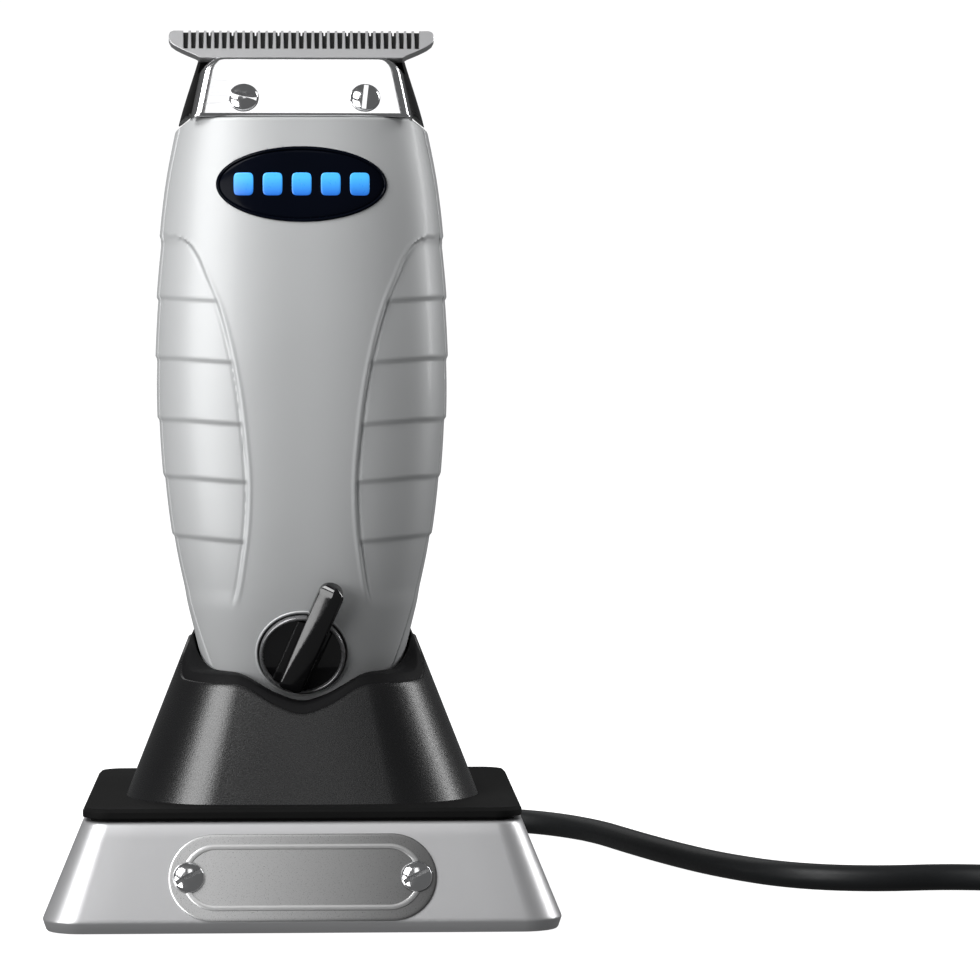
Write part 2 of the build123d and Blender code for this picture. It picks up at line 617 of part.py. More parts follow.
with BuildPart() as head_neck:
    for height, half_width, front, back in NECK_STATIONS:
        with BuildSketch(Plane.XY.offset(height)):
            with BuildLine():
                Spline(outline(half_width, front, back), periodic=True)
            make_face()
    loft()
    with BuildPart(mode=Mode.PRIVATE) as housing_block:
        add(outer_form)
        add(shoulders, mode=Mode.SUBTRACT)
    add(housing_block.part, mode=Mode.SUBTRACT)
    add(body_form(-HOUSING_WALL - 0.1, bottom=117.6))
    with BuildSketch(blade_face.offset(-BLADE_THICKNESS - 0.05)):
        Rectangle(60, 60)
    extrude(amount=30, mode=Mode.SUBTRACT)
    with BuildSketch(blade_face.offset(-4.6)):
        with Locations((0, 4)):
            Rectangle(60, 18.8)
    extrude(amount=5, mode=Mode.SUBTRACT)
    add(slab(117, CHANNEL_TOP, CHANNEL_WIDTH, 30, y=CHANNEL_BACK - 15), mode=Mode.SUBTRACT)
    with BuildSketch(blade_face):
        with Locations(*((x, BLADE_SCREW_V) for x in BLADE_SCREW_X)):
            Circle(1.3)
    extrude(amount=-9, mode=Mode.SUBTRACT)
save(head_neck, "head_neck")

# Fixed blade: a T of ground steel, its bar toothed along the top, its plate screwed to the neck.
with BuildPart() as fixed_blade:
    half_bar, half_neck, half_foot = BLADE_WIDTH / 2, BLADE_NECK_WIDTH / 2, BLADE_FOOT_WIDTH / 2
    with BuildSketch(blade_face):
        with BuildLine():
            top = Line((0, 0), (half_bar, 0))
            end = Line(top @ 1, (half_bar, -2.3))
            sweep_in = ThreePointArc(end @ 1, (18.4, -3.5), (half_neck + 0.4, -BLADE_BAR))
            flank = Line(sweep_in @ 1, (half_foot, -BLADE_LENGTH))
            Line(flank @ 1, (0, -BLADE_LENGTH))
            mirror(about=Plane.YZ)
        make_face()
        with Locations((0, -TOOTH_LENGTH / 2 + 0.5)):
            with GridLocations(TOOTH_PITCH, 1, TOOTH_COUNT, 1):
                Rectangle(TOOTH_GAP, TOOTH_LENGTH + 1, mode=Mode.SUBTRACT)
        with Locations(*((x, BLADE_SCREW_V) for x in BLADE_SCREW_X)):
            Circle(1.3, mode=Mode.SUBTRACT)
    extrude(amount=-BLADE_THICKNESS)
    with BuildPart(mode=Mode.PRIVATE) as housing_walls:
        add(housing_block.part)
        add(body_form(-HOUSING_WALL - 0.05), mode=Mode.SUBTRACT)
    add(housing_walls.part, mode=Mode.SUBTRACT)
save(fixed_blade, "fixed_blade")

with BuildPart() as blade_screws:
    for x, slot_angle in zip(BLADE_SCREW_X, (-12, 84)):
        add(slotted_screw(blade_face, x, BLADE_SCREW_V, BLADE_SCREW_RADIUS, 1.1, 1.25, 8, slot_angle))
save(blade_screws, "blade_screws")

cutter_back = blade_face.offset(-BLADE_THICKNESS - CUTTER_GAP - CUTTER_THICKNESS)
RIVET_X, RIVET_V, RIVET_RADIUS = 3.9, -11.4, 0.6
FORK_GAP = DRIVE_PIN_RADIUS + 2 * CUTTER_STROKE + 0.1

# Cutter: the toothed blade that slides behind the fixed one, with a tongue down to its yoke.
with BuildPart() as cutter_blade:
    with BuildSketch(cutter_back):
        with Locations((0, -2.6)):
            Rectangle(CUTTER_WIDTH, 4.0)
        with Locations((0, -8.8)):
            Rectangle(10, 8.6)
        with Locations((0, -1.2)):
            with GridLocations(1.45, 1, 24, 1):
                Rectangle(0.75, 2.6, mode=Mode.SUBTRACT)
        with Locations((-RIVET_X, RIVET_V), (RIVET_X, RIVET_V)):
            Circle(RIVET_RADIUS, mode=Mode.SUBTRACT)
    extrude(amount=CUTTER_THICKNESS)
save(cutter_blade, "cutter_blade")

with BuildPart() as drive_yoke:
    with BuildSketch(cutter_back):
        with Locations((0, -11.2)):
            Rectangle(10, 3.4)
    extrude(amount=-1.6)
    with BuildPart(mode=Mode.PRIVATE) as fork:
        add(slab(123.0, 125.8, 10, 10.6, y=-3.6))
        add(slab(122, 127, 2 * FORK_GAP, 10, y=MOTOR_Y - DRIVE_PIN_RADIUS + 3.2), mode=Mode.SUBTRACT)
        with BuildSketch(cutter_back.offset(-0.8)):
            Rectangle(60, 60)
        extrude(amount=20, mode=Mode.SUBTRACT)
    add(fork.part)
    with BuildSketch(cutter_back):
        with Locations((-RIVET_X, RIVET_V), (RIVET_X, RIVET_V)):
            Circle(RIVET_RADIUS)
    extrude(amount=-4, mode=Mode.SUBTRACT)
save(drive_yoke, "drive_yoke")

with BuildPart() as yoke_rivets:
    with BuildSketch(cutter_back.offset(CUTTER_THICKNESS)):
        with Locations((-RIVET_X, RIVET_V), (RIVET_X, RIVET_V)):
            Circle(RIVET_RADIUS)
    extrude(amount=-CUTTER_THICKNESS - 1.6)
save(yoke_rivets, "yoke_rivets")

with BuildPart() as cutter_spring:
    with BuildSketch(Plane.YZ.offset(-3)):
        with BuildLine():
            Polyline((CHANNEL_BACK, 126.8), (CHANNEL_BACK, 129.2), (-5.2, 129.2), (-6.2, 129.7),
                     (-6.5, 129.3), (-5.3, 128.7), (CHANNEL_BACK - 0.5, 128.7),
                     (CHANNEL_BACK - 0.5, 126.8), (CHANNEL_BACK, 126.8))
        make_face()
    extrude(amount=6)
save(cutter_spring, "cutter_spring")

# ================================================================ drive, power and switch
with BuildPart() as motor_can:
    with BuildSketch(Plane.XY.offset(MOTOR_BOTTOM)):
        with Locations((0, MOTOR_Y)):
            Circle(MOTOR_RADIUS)
            Rectangle(30, 15.4, mode=Mode.INTERSECT)
    extrude(amount=MOTOR_TOP - MOTOR_BOTTOM)
    with BuildSketch(Plane.XY.offset(MOTOR_TOP)):
        with Locations((0, MOTOR_Y)):
            Circle(3.0)
    extrude(amount=1.2)
    with BuildSketch(Plane.XY.offset(MOTOR_TOP - 6)):
        with Locations((0, MOTOR_Y)):
            Circle(SHAFT_RADIUS + RUNNING_GAP)
    extrude(amount=20, mode=Mode.SUBTRACT)
    with BuildSketch(Plane.XY.offset(MOTOR_BOTTOM - 3.6)):
        with Locations((-6, MOTOR_Y - 6), (6, MOTOR_Y - 6)):
            Rectangle(2.4, 0.5)
    extrude(amount=3.6)
save(motor_can, "motor_can")

with BuildPart() as motor_mount:
    add(body_form(-HOUSING_WALL - 0.1, bottom=MOTOR_TOP + 0.05, top=117.4))
    with BuildSketch(Plane.XY.offset(MOTOR_TOP)):
        with Locations((0, MOTOR_Y)):
            Circle(3.05)
    extrude(amount=4, mode=Mode.SUBTRACT)
save(motor_mount, "motor_mount")

CAM_BOTTOM, CAM_TOP = 118.9, 122.3
with BuildPart() as motor_shaft:
    with BuildSketch(Plane.XY.offset(MOTOR_TOP - 5.8)):
        with Locations((0, MOTOR_Y)):
            Circle(SHAFT_RADIUS)
    extrude(amount=CAM_TOP - 0.6 - MOTOR_TOP + 5.8)
save(motor_shaft, "motor_shaft")

with BuildPart() as eccentric_cam:
    with BuildSketch(Plane.XY.offset(CAM_BOTTOM)):
        with Locations((0, MOTOR_Y)):
            Circle(3.4)
    extrude(amount=CAM_TOP - CAM_BOTTOM)
    with BuildSketch(Plane.XY.offset(CAM_BOTTOM)):
        with Locations((0, MOTOR_Y)):
            Circle(SHAFT_RADIUS)
    extrude(amount=CAM_TOP - CAM_BOTTOM - 0.6, mode=Mode.SUBTRACT)
    with BuildSketch(Plane.XY.offset(CAM_TOP)):
        with Locations((0, MOTOR_Y - CUTTER_STROKE)):
            Circle(DRIVE_PIN_RADIUS)
    extrude(amount=4)
save(eccentric_cam, "eccentric_cam")

with BuildPart() as battery_cell:
    with BuildSketch(Plane.XY.offset(CELL_BOTTOM)):
        with Locations((0, CELL_Y)):
            Circle(CELL_RADIUS)
    extrude(amount=CELL_LENGTH)
    with BuildSketch(Plane.XY.offset(CELL_BOTTOM + CELL_LENGTH)):
        with Locations((0, CELL_Y)):
            Circle(2.6)
    extrude(amount=0.4)
save(battery_cell, "battery_cell")

with BuildPart() as cell_cradle:
    with BuildSketch(Plane.XY.offset(CELL_BOTTOM + 3)):
        with Locations((0, CELL_Y)):
            Circle(CELL_RADIUS + 1.2)
            Circle(CELL_RADIUS + 0.1, mode=Mode.SUBTRACT)
        with Locations((0, CELL_Y - 10)):
            Rectangle(30, 20, mode=Mode.SUBTRACT)
    extrude(amount=CELL_LENGTH - 6)
save(cell_cradle, "cell_cradle")

BOARD_BOTTOM, BOARD_TOP, BOARD_Y = 48.5, 87.5, -8.6
with BuildPart() as main_circuit_board:
    add(slab(BOARD_BOTTOM, BOARD_TOP, 16, 1.2, y=BOARD_Y))
    with BuildSketch(Plane.XZ.offset(-BOARD_Y + 0.6)):
        with Locations((-3, 60), (3, 74)):
            Rectangle(6, 6)
        with Locations((4, 64), (-4, 72), (-4, 80)):
            Rectangle(2.4, 1.6)
    extrude(amount=1.2)
save(main_circuit_board, "main_circuit_board")

with BuildPart() as light_board:
    add(slab(BADGE_Z - 5.8, BADGE_Z + 4, 21, 0.8, y=-12.6))
    with BuildSketch(Plane.XZ.offset(13.0)):
        with Locations((0, BADGE_Z)):
            with GridLocations(BAR_PITCH, 1, BAR_COUNT, 1):
                Rectangle(1.6, 1.6)
    extrude(amount=0.7)
save(light_board, "light_board")

with BuildPart() as switch_knob:
    with BuildSketch(knob_face.offset(-SWITCH_RECESS_DEPTH + 0.1)):
        Circle(KNOB_DIAMETER / 2)
    extrude(amount=SWITCH_RECESS_DEPTH + 0.5)
    with BuildSketch(knob_face.offset(0.6)):
        Circle(KNOB_DIAMETER / 2)
        Circle(KNOB_DIAMETER / 2 - 0.7, mode=Mode.SUBTRACT)
    extrude(amount=0.3)
save(switch_knob, "switch_knob")

LEVER_TAIL = 5.6
lever_turn = math.radians(LEVER_ANGLE)
lever_middle = (LEVER_REACH - LEVER_TAIL) / 2
with BuildPart() as switch_lever:
    with BuildSketch(knob_face.offset(0.9)):
        with Locations((-lever_middle * math.sin(lever_turn), lever_middle * math.cos(lever_turn))):
            RectangleRounded(LEVER_WIDTH, LEVER_REACH + LEVER_TAIL, 1.0, rotation=LEVER_ANGLE)
    extrude(amount=2.2)
    chamfer(switch_lever.faces().sort_by(Axis((0, 0, 0), knob_face.z_dir))[-1].edges(), 0.5)
    with BuildSketch(knob_face.offset(0.6)):
        RectangleRounded(LEVER_WIDTH - 0.6, 9.6, 0.8, rotation=LEVER_ANGLE)
    extrude(amount=0.3)
save(switch_lever, "switch_lever")

with BuildPart() as switch_shaft:
    with BuildSketch(knob_face.offset(-SWITCH_RECESS_DEPTH + 0.1)):
        Circle(SWITCH_SHAFT_RADIUS)
    extrude(amount=-(SWITCH_BOSS_DEPTH - SWITCH_RECESS_DEPTH + 0.3))
    with BuildSketch(knob_face.offset(-SWITCH_BOSS_DEPTH - 0.2)):
        Circle(3.4)
    extrude(amount=-1.0)
save(switch_shaft, "switch_shaft")

with BuildPart() as switch_contact:
    with BuildSketch(Plane.YZ.offset(-1.5)):
        with BuildLine():
            Polyline((BOARD_Y + 0.6, 49.2), (BOARD_Y + 0.6, 52), (BOARD_Y + 0.9, 52),
                     (BOARD_Y + 0.9, 49.4), (-5.6, 47.8), (-5.7, 47.5), (BOARD_Y + 0.6, 49.2))
        make_face()
    extrude(amount=3)
save(switch_contact, "switch_contact")

# ================================================================ the supply lead
FLOOR = CORD / 2                     # height of the cord's middle where it lies on the table
RELIEF_END = 60.0                    # where the cord leaves the plug's strain relief
# The lead: out of the plug, down to the table behind the stand, round its right side and on to the
# coil. Its runs and turns are as uneven as a lead that was laid down by hand.
LEAD_ROUTE = [
    (0.0, RELIEF_END, JACK_Z),
    (0.6, 75.0, 7.6),
    (8.5, 89.6, 4.4),
    (24.5, 96.4, FLOOR + 0.2),
    (40.6, 91.0, FLOOR),
    (50.4, 77.5, FLOOR),
    (56.0, 59.0, FLOOR),
    (62.2, 41.0, FLOOR),
    (68.6, 26.2, FLOOR),
    (77.6, 13.2, FLOOR),
    (90.0, 8.2, FLOOR),
    (105.0, 11.2, FLOOR),
    (120.0, 4.5, FLOOR),
    (135.4, -4.6, FLOOR),
]
# The last stretch: off the coil's second layer to the adapter's strain relief.
TAIL_ROUTE = [
    (COIL_X + COIL_RADIUS + CORD, COIL_Y - 2.0, 1.5 * CORD),
    (COIL_X + COIL_RADIUS + CORD - 0.4, COIL_Y + 17.0, 5.4),
    (168.4, COIL_Y + 34.5, 5.0),
]


def bend_radii(route):
    """The radius of the arc at each inner point of a route: 0.45 of its shorter run."""
    radii = []
    for before, here, after in zip(route, route[1:], route[2:]):
        into, out = Vector(here) - Vector(before), Vector(after) - Vector(here)
        turn = math.radians(into.get_angle(out))
        radii.append(0.45 * min(into.length, out.length) / math.tan(turn / 2))
    return radii


def cord_tube(route):
    """A round cord along straight runs joined by tangent arcs, and the length of its middle."""
    with BuildPart() as tube:
        with BuildLine():
            path = FilletPolyline(*route, radius=bend_radii(route))
        with BuildSketch(Plane(path @ 0, z_dir=path % 0)):
            Circle(CORD / 2)
        sweep(path=path)
    return tube.part, path.length


# DC plug: a metal barrel in the jack, a moulded grip outside the wall and a tapered strain relief.
with BuildPart() as dc_plug:
    with BuildSketch(Plane.XZ.offset(-JACK_Y)):
        with Locations((0, JACK_Z)):
            Circle(4.3)
    extrude(amount=-17)
    fillet(dc_plug.edges().filter_by(GeomType.CIRCLE).sort_by(Axis.Y)[-1], 1.0)
    with BuildSketch(Plane.XZ.offset(-JACK_Y)):
        with Locations((0, JACK_Z)):
            Circle(2.75)
            Circle(1.05, mode=Mode.SUBTRACT)
    extrude(amount=9.5)
save(dc_plug, "dc_plug")

PLUG_END = JACK_Y + 17
with BuildPart() as plug_strain_relief:
    with BuildSketch(Plane.XZ.offset(-PLUG_END)):
        with Locations((0, JACK_Z)):
            Circle(3.2)
    with BuildSketch(Plane.XZ.offset(-RELIEF_END)):
        with Locations((0, JACK_Z)):
            Circle(CORD / 2 + 0.35)
    loft()
save(plug_strain_relief, "plug_strain_relief")

# Coil: the outer form of the put-away turns, cut where its tie passes round them.
TIE_ANGLE = 150.0
tie_spot = Vector(COIL_X, COIL_Y) + Vector(COIL_RADIUS, 0).rotate(Axis.Z, TIE_ANGLE)
tie_plane = Plane(tie_spot, x_dir=Vector(1, 0).rotate(Axis.Z, TIE_ANGLE))
with BuildPart() as coil_tie:
    with BuildSketch(tie_plane):
        Rectangle(COIL_ACROSS + 2 * TIE_THICKNESS, TIE_WIDTH)
    extrude(amount=COIL_UP + TIE_THICKNESS)
    with BuildSketch(tie_plane.offset(TIE_THICKNESS)):
        Rectangle(COIL_ACROSS, TIE_WIDTH)
    extrude(amount=COIL_UP - TIE_THICKNESS, mode=Mode.SUBTRACT)
save(coil_tie, "coil_tie")

coil_plane = Plane(origin=(COIL_X, COIL_Y, 0), x_dir=(1, 0, 0), z_dir=(0, -1, 0))
with BuildPart() as cord_coil:
    with BuildSketch(coil_plane):
        with Locations((COIL_RADIUS, COIL_UP / 2)):
            RectangleRounded(COIL_ACROSS, COIL_UP, CORD / 2)
    revolve(axis=Axis((COIL_X, COIL_Y, 0), (0, 0, 1)))
    add(coil_tie.part, mode=Mode.SUBTRACT)
save(cord_coil, "cord_coil")

# Both stretches of cord run into the coil's form, where they join its turns.
lead_tube, lead_length = cord_tube(LEAD_ROUTE)
with BuildPart() as cord_lead:
    add(lead_tube)
save(cord_lead, "cord_lead")

tail_tube, tail_length = cord_tube(TAIL_ROUTE)
with BuildPart() as cord_tail:
    add(tail_tube)
save(cord_tail, "cord_tail")

# Adapter: a plug-in mains case in two halves, lying on its back with its two flat prongs upwards.
tail_end, tail_before = Vector(*TAIL_ROUTE[-1]), Vector(*TAIL_ROUTE[-2])
heading = Vector(tail_end.X - tail_before.X, tail_end.Y - tail_before.Y, 0).normalized()
adapter_plane = Plane(origin=(tail_end.X, tail_end.Y, 0), x_dir=heading, z_dir=(0, 0, 1))
relief_plane = Plane(origin=(tail_end.X, tail_end.Y, tail_end.Z), z_dir=heading)
ADAPTER_RELIEF, ADAPTER_SPLIT = 11.0, 15.0
PRONG_LENGTH, PRONG_WIDTH, PRONG_THICKNESS, PRONG_SPACING = 16.0, 6.35, 1.5, 12.7

with BuildPart() as adapter_strain_relief:
    with BuildSketch(relief_plane):
        Circle(CORD / 2 + 0.35)
    with BuildSketch(relief_plane.offset(ADAPTER_RELIEF)):
        Circle(3.6)
    loft()
save(adapter_strain_relief, "adapter_strain_relief")

with BuildPart() as adapter_base:
    with BuildSketch(adapter_plane):
        with Locations((ADAPTER_RELIEF + ADAPTER_LENGTH / 2, 0)):
            RectangleRounded(ADAPTER_LENGTH, ADAPTER_WIDTH, 4)
    extrude(amount=ADAPTER_SPLIT)
    fillet(adapter_base.faces().sort_by(Axis.Z)[0].edges(), 1.5)
    with BuildSketch(adapter_plane.offset(2)):
        with Locations((ADAPTER_RELIEF + ADAPTER_LENGTH / 2, 0)):
            RectangleRounded(ADAPTER_LENGTH - 4, ADAPTER_WIDTH - 4, 2.5)
    extrude(amount=ADAPTER_SPLIT, mode=Mode.SUBTRACT)
save(adapter_base, "adapter_base")

with BuildPart() as adapter_lid:
    with BuildSketch(adapter_plane.offset(ADAPTER_SPLIT)):
        with Locations((ADAPTER_RELIEF + ADAPTER_LENGTH / 2, 0)):
            RectangleRounded(ADAPTER_LENGTH, ADAPTER_WIDTH, 4)
    extrude(amount=ADAPTER_HEIGHT - ADAPTER_SPLIT)
    fillet(adapter_lid.faces().sort_by(Axis.Z)[-1].edges(), 1.2)
    with BuildSketch(adapter_plane.offset(ADAPTER_SPLIT)):
        with Locations((ADAPTER_RELIEF + ADAPTER_LENGTH / 2, 0)):
            RectangleRounded(ADAPTER_LENGTH - 4, ADAPTER_WIDTH - 4, 2.5)
    extrude(amount=ADAPTER_HEIGHT - ADAPTER_SPLIT - 2.5, mode=Mode.SUBTRACT)
    with BuildSketch(adapter_plane.offset(ADAPTER_SPLIT)):
        with Locations((ADAPTER_RELIEF + ADAPTER_LENGTH / 2, 0)):
            with GridLocations(1, PRONG_SPACING, 1, 2):
                Rectangle(PRONG_WIDTH, PRONG_THICKNESS)
    extrude(amount=ADAPTER_HEIGHT, mode=Mode.SUBTRACT)
save(adapter_lid, "adapter_lid")

with BuildPart() as adapter_prongs:
    with BuildSketch(adapter_plane.offset(ADAPTER_HEIGHT - 5)):
        with Locations((ADAPTER_RELIEF + ADAPTER_LENGTH / 2, 0)):
            with GridLocations(1, PRONG_SPACING, 1, 2):
                Rectangle(PRONG_WIDTH, PRONG_THICKNESS)
    extrude(amount=PRONG_LENGTH + 5)
    chamfer(adapter_prongs.faces().sort_by(Axis.Z)[-2:].edges(), 0.35)
save(adapter_prongs, "adapter_prongs")

with BuildPart() as adapter_circuit_board:
    with BuildSketch(adapter_plane.offset(8)):
        with Locations((ADAPTER_RELIEF + ADAPTER_LENGTH / 2, 0)):
            Rectangle(ADAPTER_LENGTH - 8, ADAPTER_WIDTH - 8)
    extrude(amount=1.4)
    with BuildSketch(adapter_plane.offset(9.4)):
        with Locations((ADAPTER_RELIEF + 12, 0)):
            Rectangle(11, 12)
    extrude(amount=8)
save(adapter_circuit_board, "adapter_circuit_board")

for name, route, tube, length in (("lead", LEAD_ROUTE, lead_tube, lead_length),
                                  ("tail", TAIL_ROUTE, tail_tube, tail_length)):
    section = math.pi * CORD ** 2 / 4
    print(name, "radii in cord diameters", [round(r / CORD, 1) for r in bend_radii(route)])
    print(name, "length", round(length, 1), "volume over section times length",
          round(tube.volume / (section * length), 4))
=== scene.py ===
"""Looks of the cordless T-blade clipper, its charging stand and its supply lead.

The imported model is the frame. Shapes here are worked out in millimetres, in the frame's own axes
(+Z up, the clipper's face towards -Y), and scaled to metres as each mesh is made.
"""
import json
import math

import bmesh
import bpy
import numpy as np
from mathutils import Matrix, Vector


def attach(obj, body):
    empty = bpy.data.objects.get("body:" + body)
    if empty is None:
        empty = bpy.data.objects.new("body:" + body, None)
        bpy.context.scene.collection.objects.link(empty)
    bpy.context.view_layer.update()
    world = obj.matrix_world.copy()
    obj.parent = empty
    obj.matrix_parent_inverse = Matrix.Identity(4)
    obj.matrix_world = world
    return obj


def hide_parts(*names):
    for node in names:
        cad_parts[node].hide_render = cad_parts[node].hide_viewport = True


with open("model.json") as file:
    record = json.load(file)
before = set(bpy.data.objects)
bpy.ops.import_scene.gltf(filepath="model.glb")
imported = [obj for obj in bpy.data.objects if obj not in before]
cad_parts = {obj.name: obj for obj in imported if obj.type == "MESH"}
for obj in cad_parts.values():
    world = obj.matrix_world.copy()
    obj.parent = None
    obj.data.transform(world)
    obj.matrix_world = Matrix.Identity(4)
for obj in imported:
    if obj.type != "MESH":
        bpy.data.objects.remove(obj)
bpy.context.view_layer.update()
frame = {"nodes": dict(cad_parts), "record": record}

MM = 0.001

# ---------------------------------------------------------------- sizes shared with the CAD model
CORD = 4.2
BODY_SQUARENESS = 2.8
SEAM_Y = -7.5
TAIL, HOUSING_TOP = 13.0, 121.8
# height, half width, front face, back face of the clipper body
BODY_STATIONS = [
    (TAIL, 9.6, -2.6, 9.4),
    (20.0, 11.3, -5.2, 10.4),
    (30.0, 13.7, -9.1, 11.9),
    (40.0, 16.1, -13.2, 13.4),
    (47.5, 17.9, -15.7, 14.6),
    (56.0, 19.9, -17.4, 15.9),
    (66.0, 21.5, -18.5, 17.1),
    (78.0, 22.6, -19.1, 17.9),
    (90.0, 22.7, -19.1, 18.0),
    (102.0, 22.1, -18.3, 17.1),
    (112.0, 21.0, -17.1, 15.3),
    (HOUSING_TOP, 19.1, -15.2, 12.2),
]
BADGE_WIDTH, BADGE_HEIGHT, BADGE_Z, BADGE_RIM = 26.0, 11.5, 111.5, 0.55
KNOB_Y, KNOB_Z, KNOB_TILT = -13.15, 39.9, 22.0
LEVER_ANGLE, LEVER_WIDTH, LEVER_REACH, LEVER_TAIL, LEVER_HEIGHT = -22.0, 3.8, 13.2, 5.6, 2.2
BLADE_TIP_Y, BLADE_TIP_Z, BLADE_TILT = -7.0, 135.5, 24.0
BLADE_WIDTH = 40.6
WELL_FLOOR = 12.8
BASE_WIDTH, BASE_DEPTH, BASE_WIDEST_Z = 77.4, 73.0, 2.0
BASE_TOP_WIDTH, BASE_TOP_DEPTH, BASE_TOP = 65.8, 61.0, 16.1
LABEL_Z = 8.2


# ---------------------------------------------------------------- small helpers
def smooth(share):
    """A smooth step from 0 to 1."""
    share = np.clip(share, 0.0, 1.0)
    return share * share * (3 - 2 * share)


def interpolate(stations, at):
    """Every value of a list of stations at one or many places, on a smooth curve through them."""
    table = np.array(stations, float)
    places, last = table[:, 0], len(table) - 1
    at = np.clip(at, places[0], places[-1])
    index = np.clip(np.searchsorted(places, at) - 1, 0, last - 1)
    before, after = np.maximum(index - 1, 0), np.minimum(index + 2, last)
    span = places[index + 1] - places[index]
    t = (at - places[index]) / span
    values = []
    for column in table.T[1:]:
        a, b = column[index], column[index + 1]
        slope_a = (b - column[before]) / (places[index + 1] - places[before]) * span
        slope_b = (column[after] - a) / (places[after] - places[index]) * span
        values.append((2 * t**3 - 3 * t**2 + 1) * a + (t**3 - 2 * t**2 + t) * slope_a
                      + (3 * t**2 - 2 * t**3) * b + (t**3 - t**2) * slope_b)
    return values


class Face:
    """A tilted work plane: x to the right, v up along it, n out of it."""

    def __init__(self, y, z, normal_y, normal_z):
        self.origin = Vector((0, y, z))
        self.normal = Vector((0, normal_y, normal_z))
        self.up = self.normal.cross(Vector((1, 0, 0)))

    def at(self, x, v, n=0.0):
        return self.origin + Vector((x, 0, 0)) + self.up * v + self.normal * n


def add_object(name, data):
    """A new object in the scene."""
    added = bpy.data.objects.new(name, data)
    bpy.context.scene.collection.objects.link(added)
    return added


def new_piece(name, points, faces, body, slot, replaces=(), sharp=40.0, wall=0.0, bevel=0.0):
    """A mesh piece from points in millimetres, riding on its body, with a wall or rounded edges."""
    mesh = bpy.data.meshes.new(name)
    mesh.from_pydata((np.array(points, float) * MM).tolist(), [], faces)
    mesh.validate()
    work = bmesh.new()
    work.from_mesh(mesh)
    bmesh.ops.remove_doubles(work, verts=work.verts, dist=1e-6)
    bmesh.ops.recalc_face_normals(work, faces=work.faces)
    middle = sum((f.calc_center_median() for f in work.faces), Vector()) / len(work.faces)
    if sum((f.calc_center_median() - middle).dot(f.normal) * f.calc_area() for f in work.faces) < 0:
        bmesh.ops.reverse_faces(work, faces=work.faces)
    work.to_mesh(mesh)
    work.free()
    mesh.shade_smooth()
    mesh.set_sharp_from_angle(angle=math.radians(sharp))
    piece = add_object(name, mesh)
    mesh.materials.append(FINISHES[slot])
    if wall:
        shell = piece.modifiers.new("wall", "SOLIDIFY")
        shell.thickness = wall * MM
        shell.offset = -1.0
    if bevel:
        round_off = piece.modifiers.new("edges", "BEVEL")
        round_off.width = bevel * MM
        round_off.segments = 2
        round_off.limit_method = "ANGLE"
    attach(piece, body)
    if replaces:
        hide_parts(*replaces)
    return piece


def grid_faces(rows, columns, closed=False, start=0):
    """The faces of a grid of points, row by row."""
    faces = []
    for r in range(rows - 1):
        for c in range(columns if closed else columns - 1):
            a, b = r * columns + c, r * columns + (c + 1) % columns
            faces.append((start + a, start + b, start + b + columns, start + a + columns))
    return faces


def prism_faces(count):
    """The two ends and the sides of a prism whose points are two rings of the same length."""
    ends = [tuple(range(count)), tuple(range(2 * count - 1, count - 1, -1))]
    return ends + [(k, (k + 1) % count, (k + 1) % count + count, k + count) for k in range(count)]


# ---------------------------------------------------------------- materials
def noise_texture(nodes, links, coordinates, scale, detail=3.0, stretch=None):
    """A noise texture on the object's own coordinates, stretched along its axes if asked."""
    source = coordinates
    if stretch:
        mapping = nodes.new("ShaderNodeMapping")
        mapping.inputs["Scale"].default_value = stretch
        links.new(coordinates, mapping.inputs["Vector"])
        source = mapping.outputs["Vector"]
    noise = nodes.new("ShaderNodeTexNoise")
    noise.inputs["Scale"].default_value = scale
    noise.inputs["Detail"].default_value = detail
    links.new(source, noise.inputs["Vector"])
    return noise.outputs["Fac"]


def ranged(nodes, links, value, low, high):
    """A value near 0.5 spread between two others."""
    spread = nodes.new("ShaderNodeMapRange")
    spread.inputs["From Min"].default_value = 0.3
    spread.inputs["From Max"].default_value = 0.7
    spread.inputs["To Min"].default_value = low
    spread.inputs["To Max"].default_value = high
    links.new(value, spread.inputs["Value"])
    return spread.outputs["Result"]


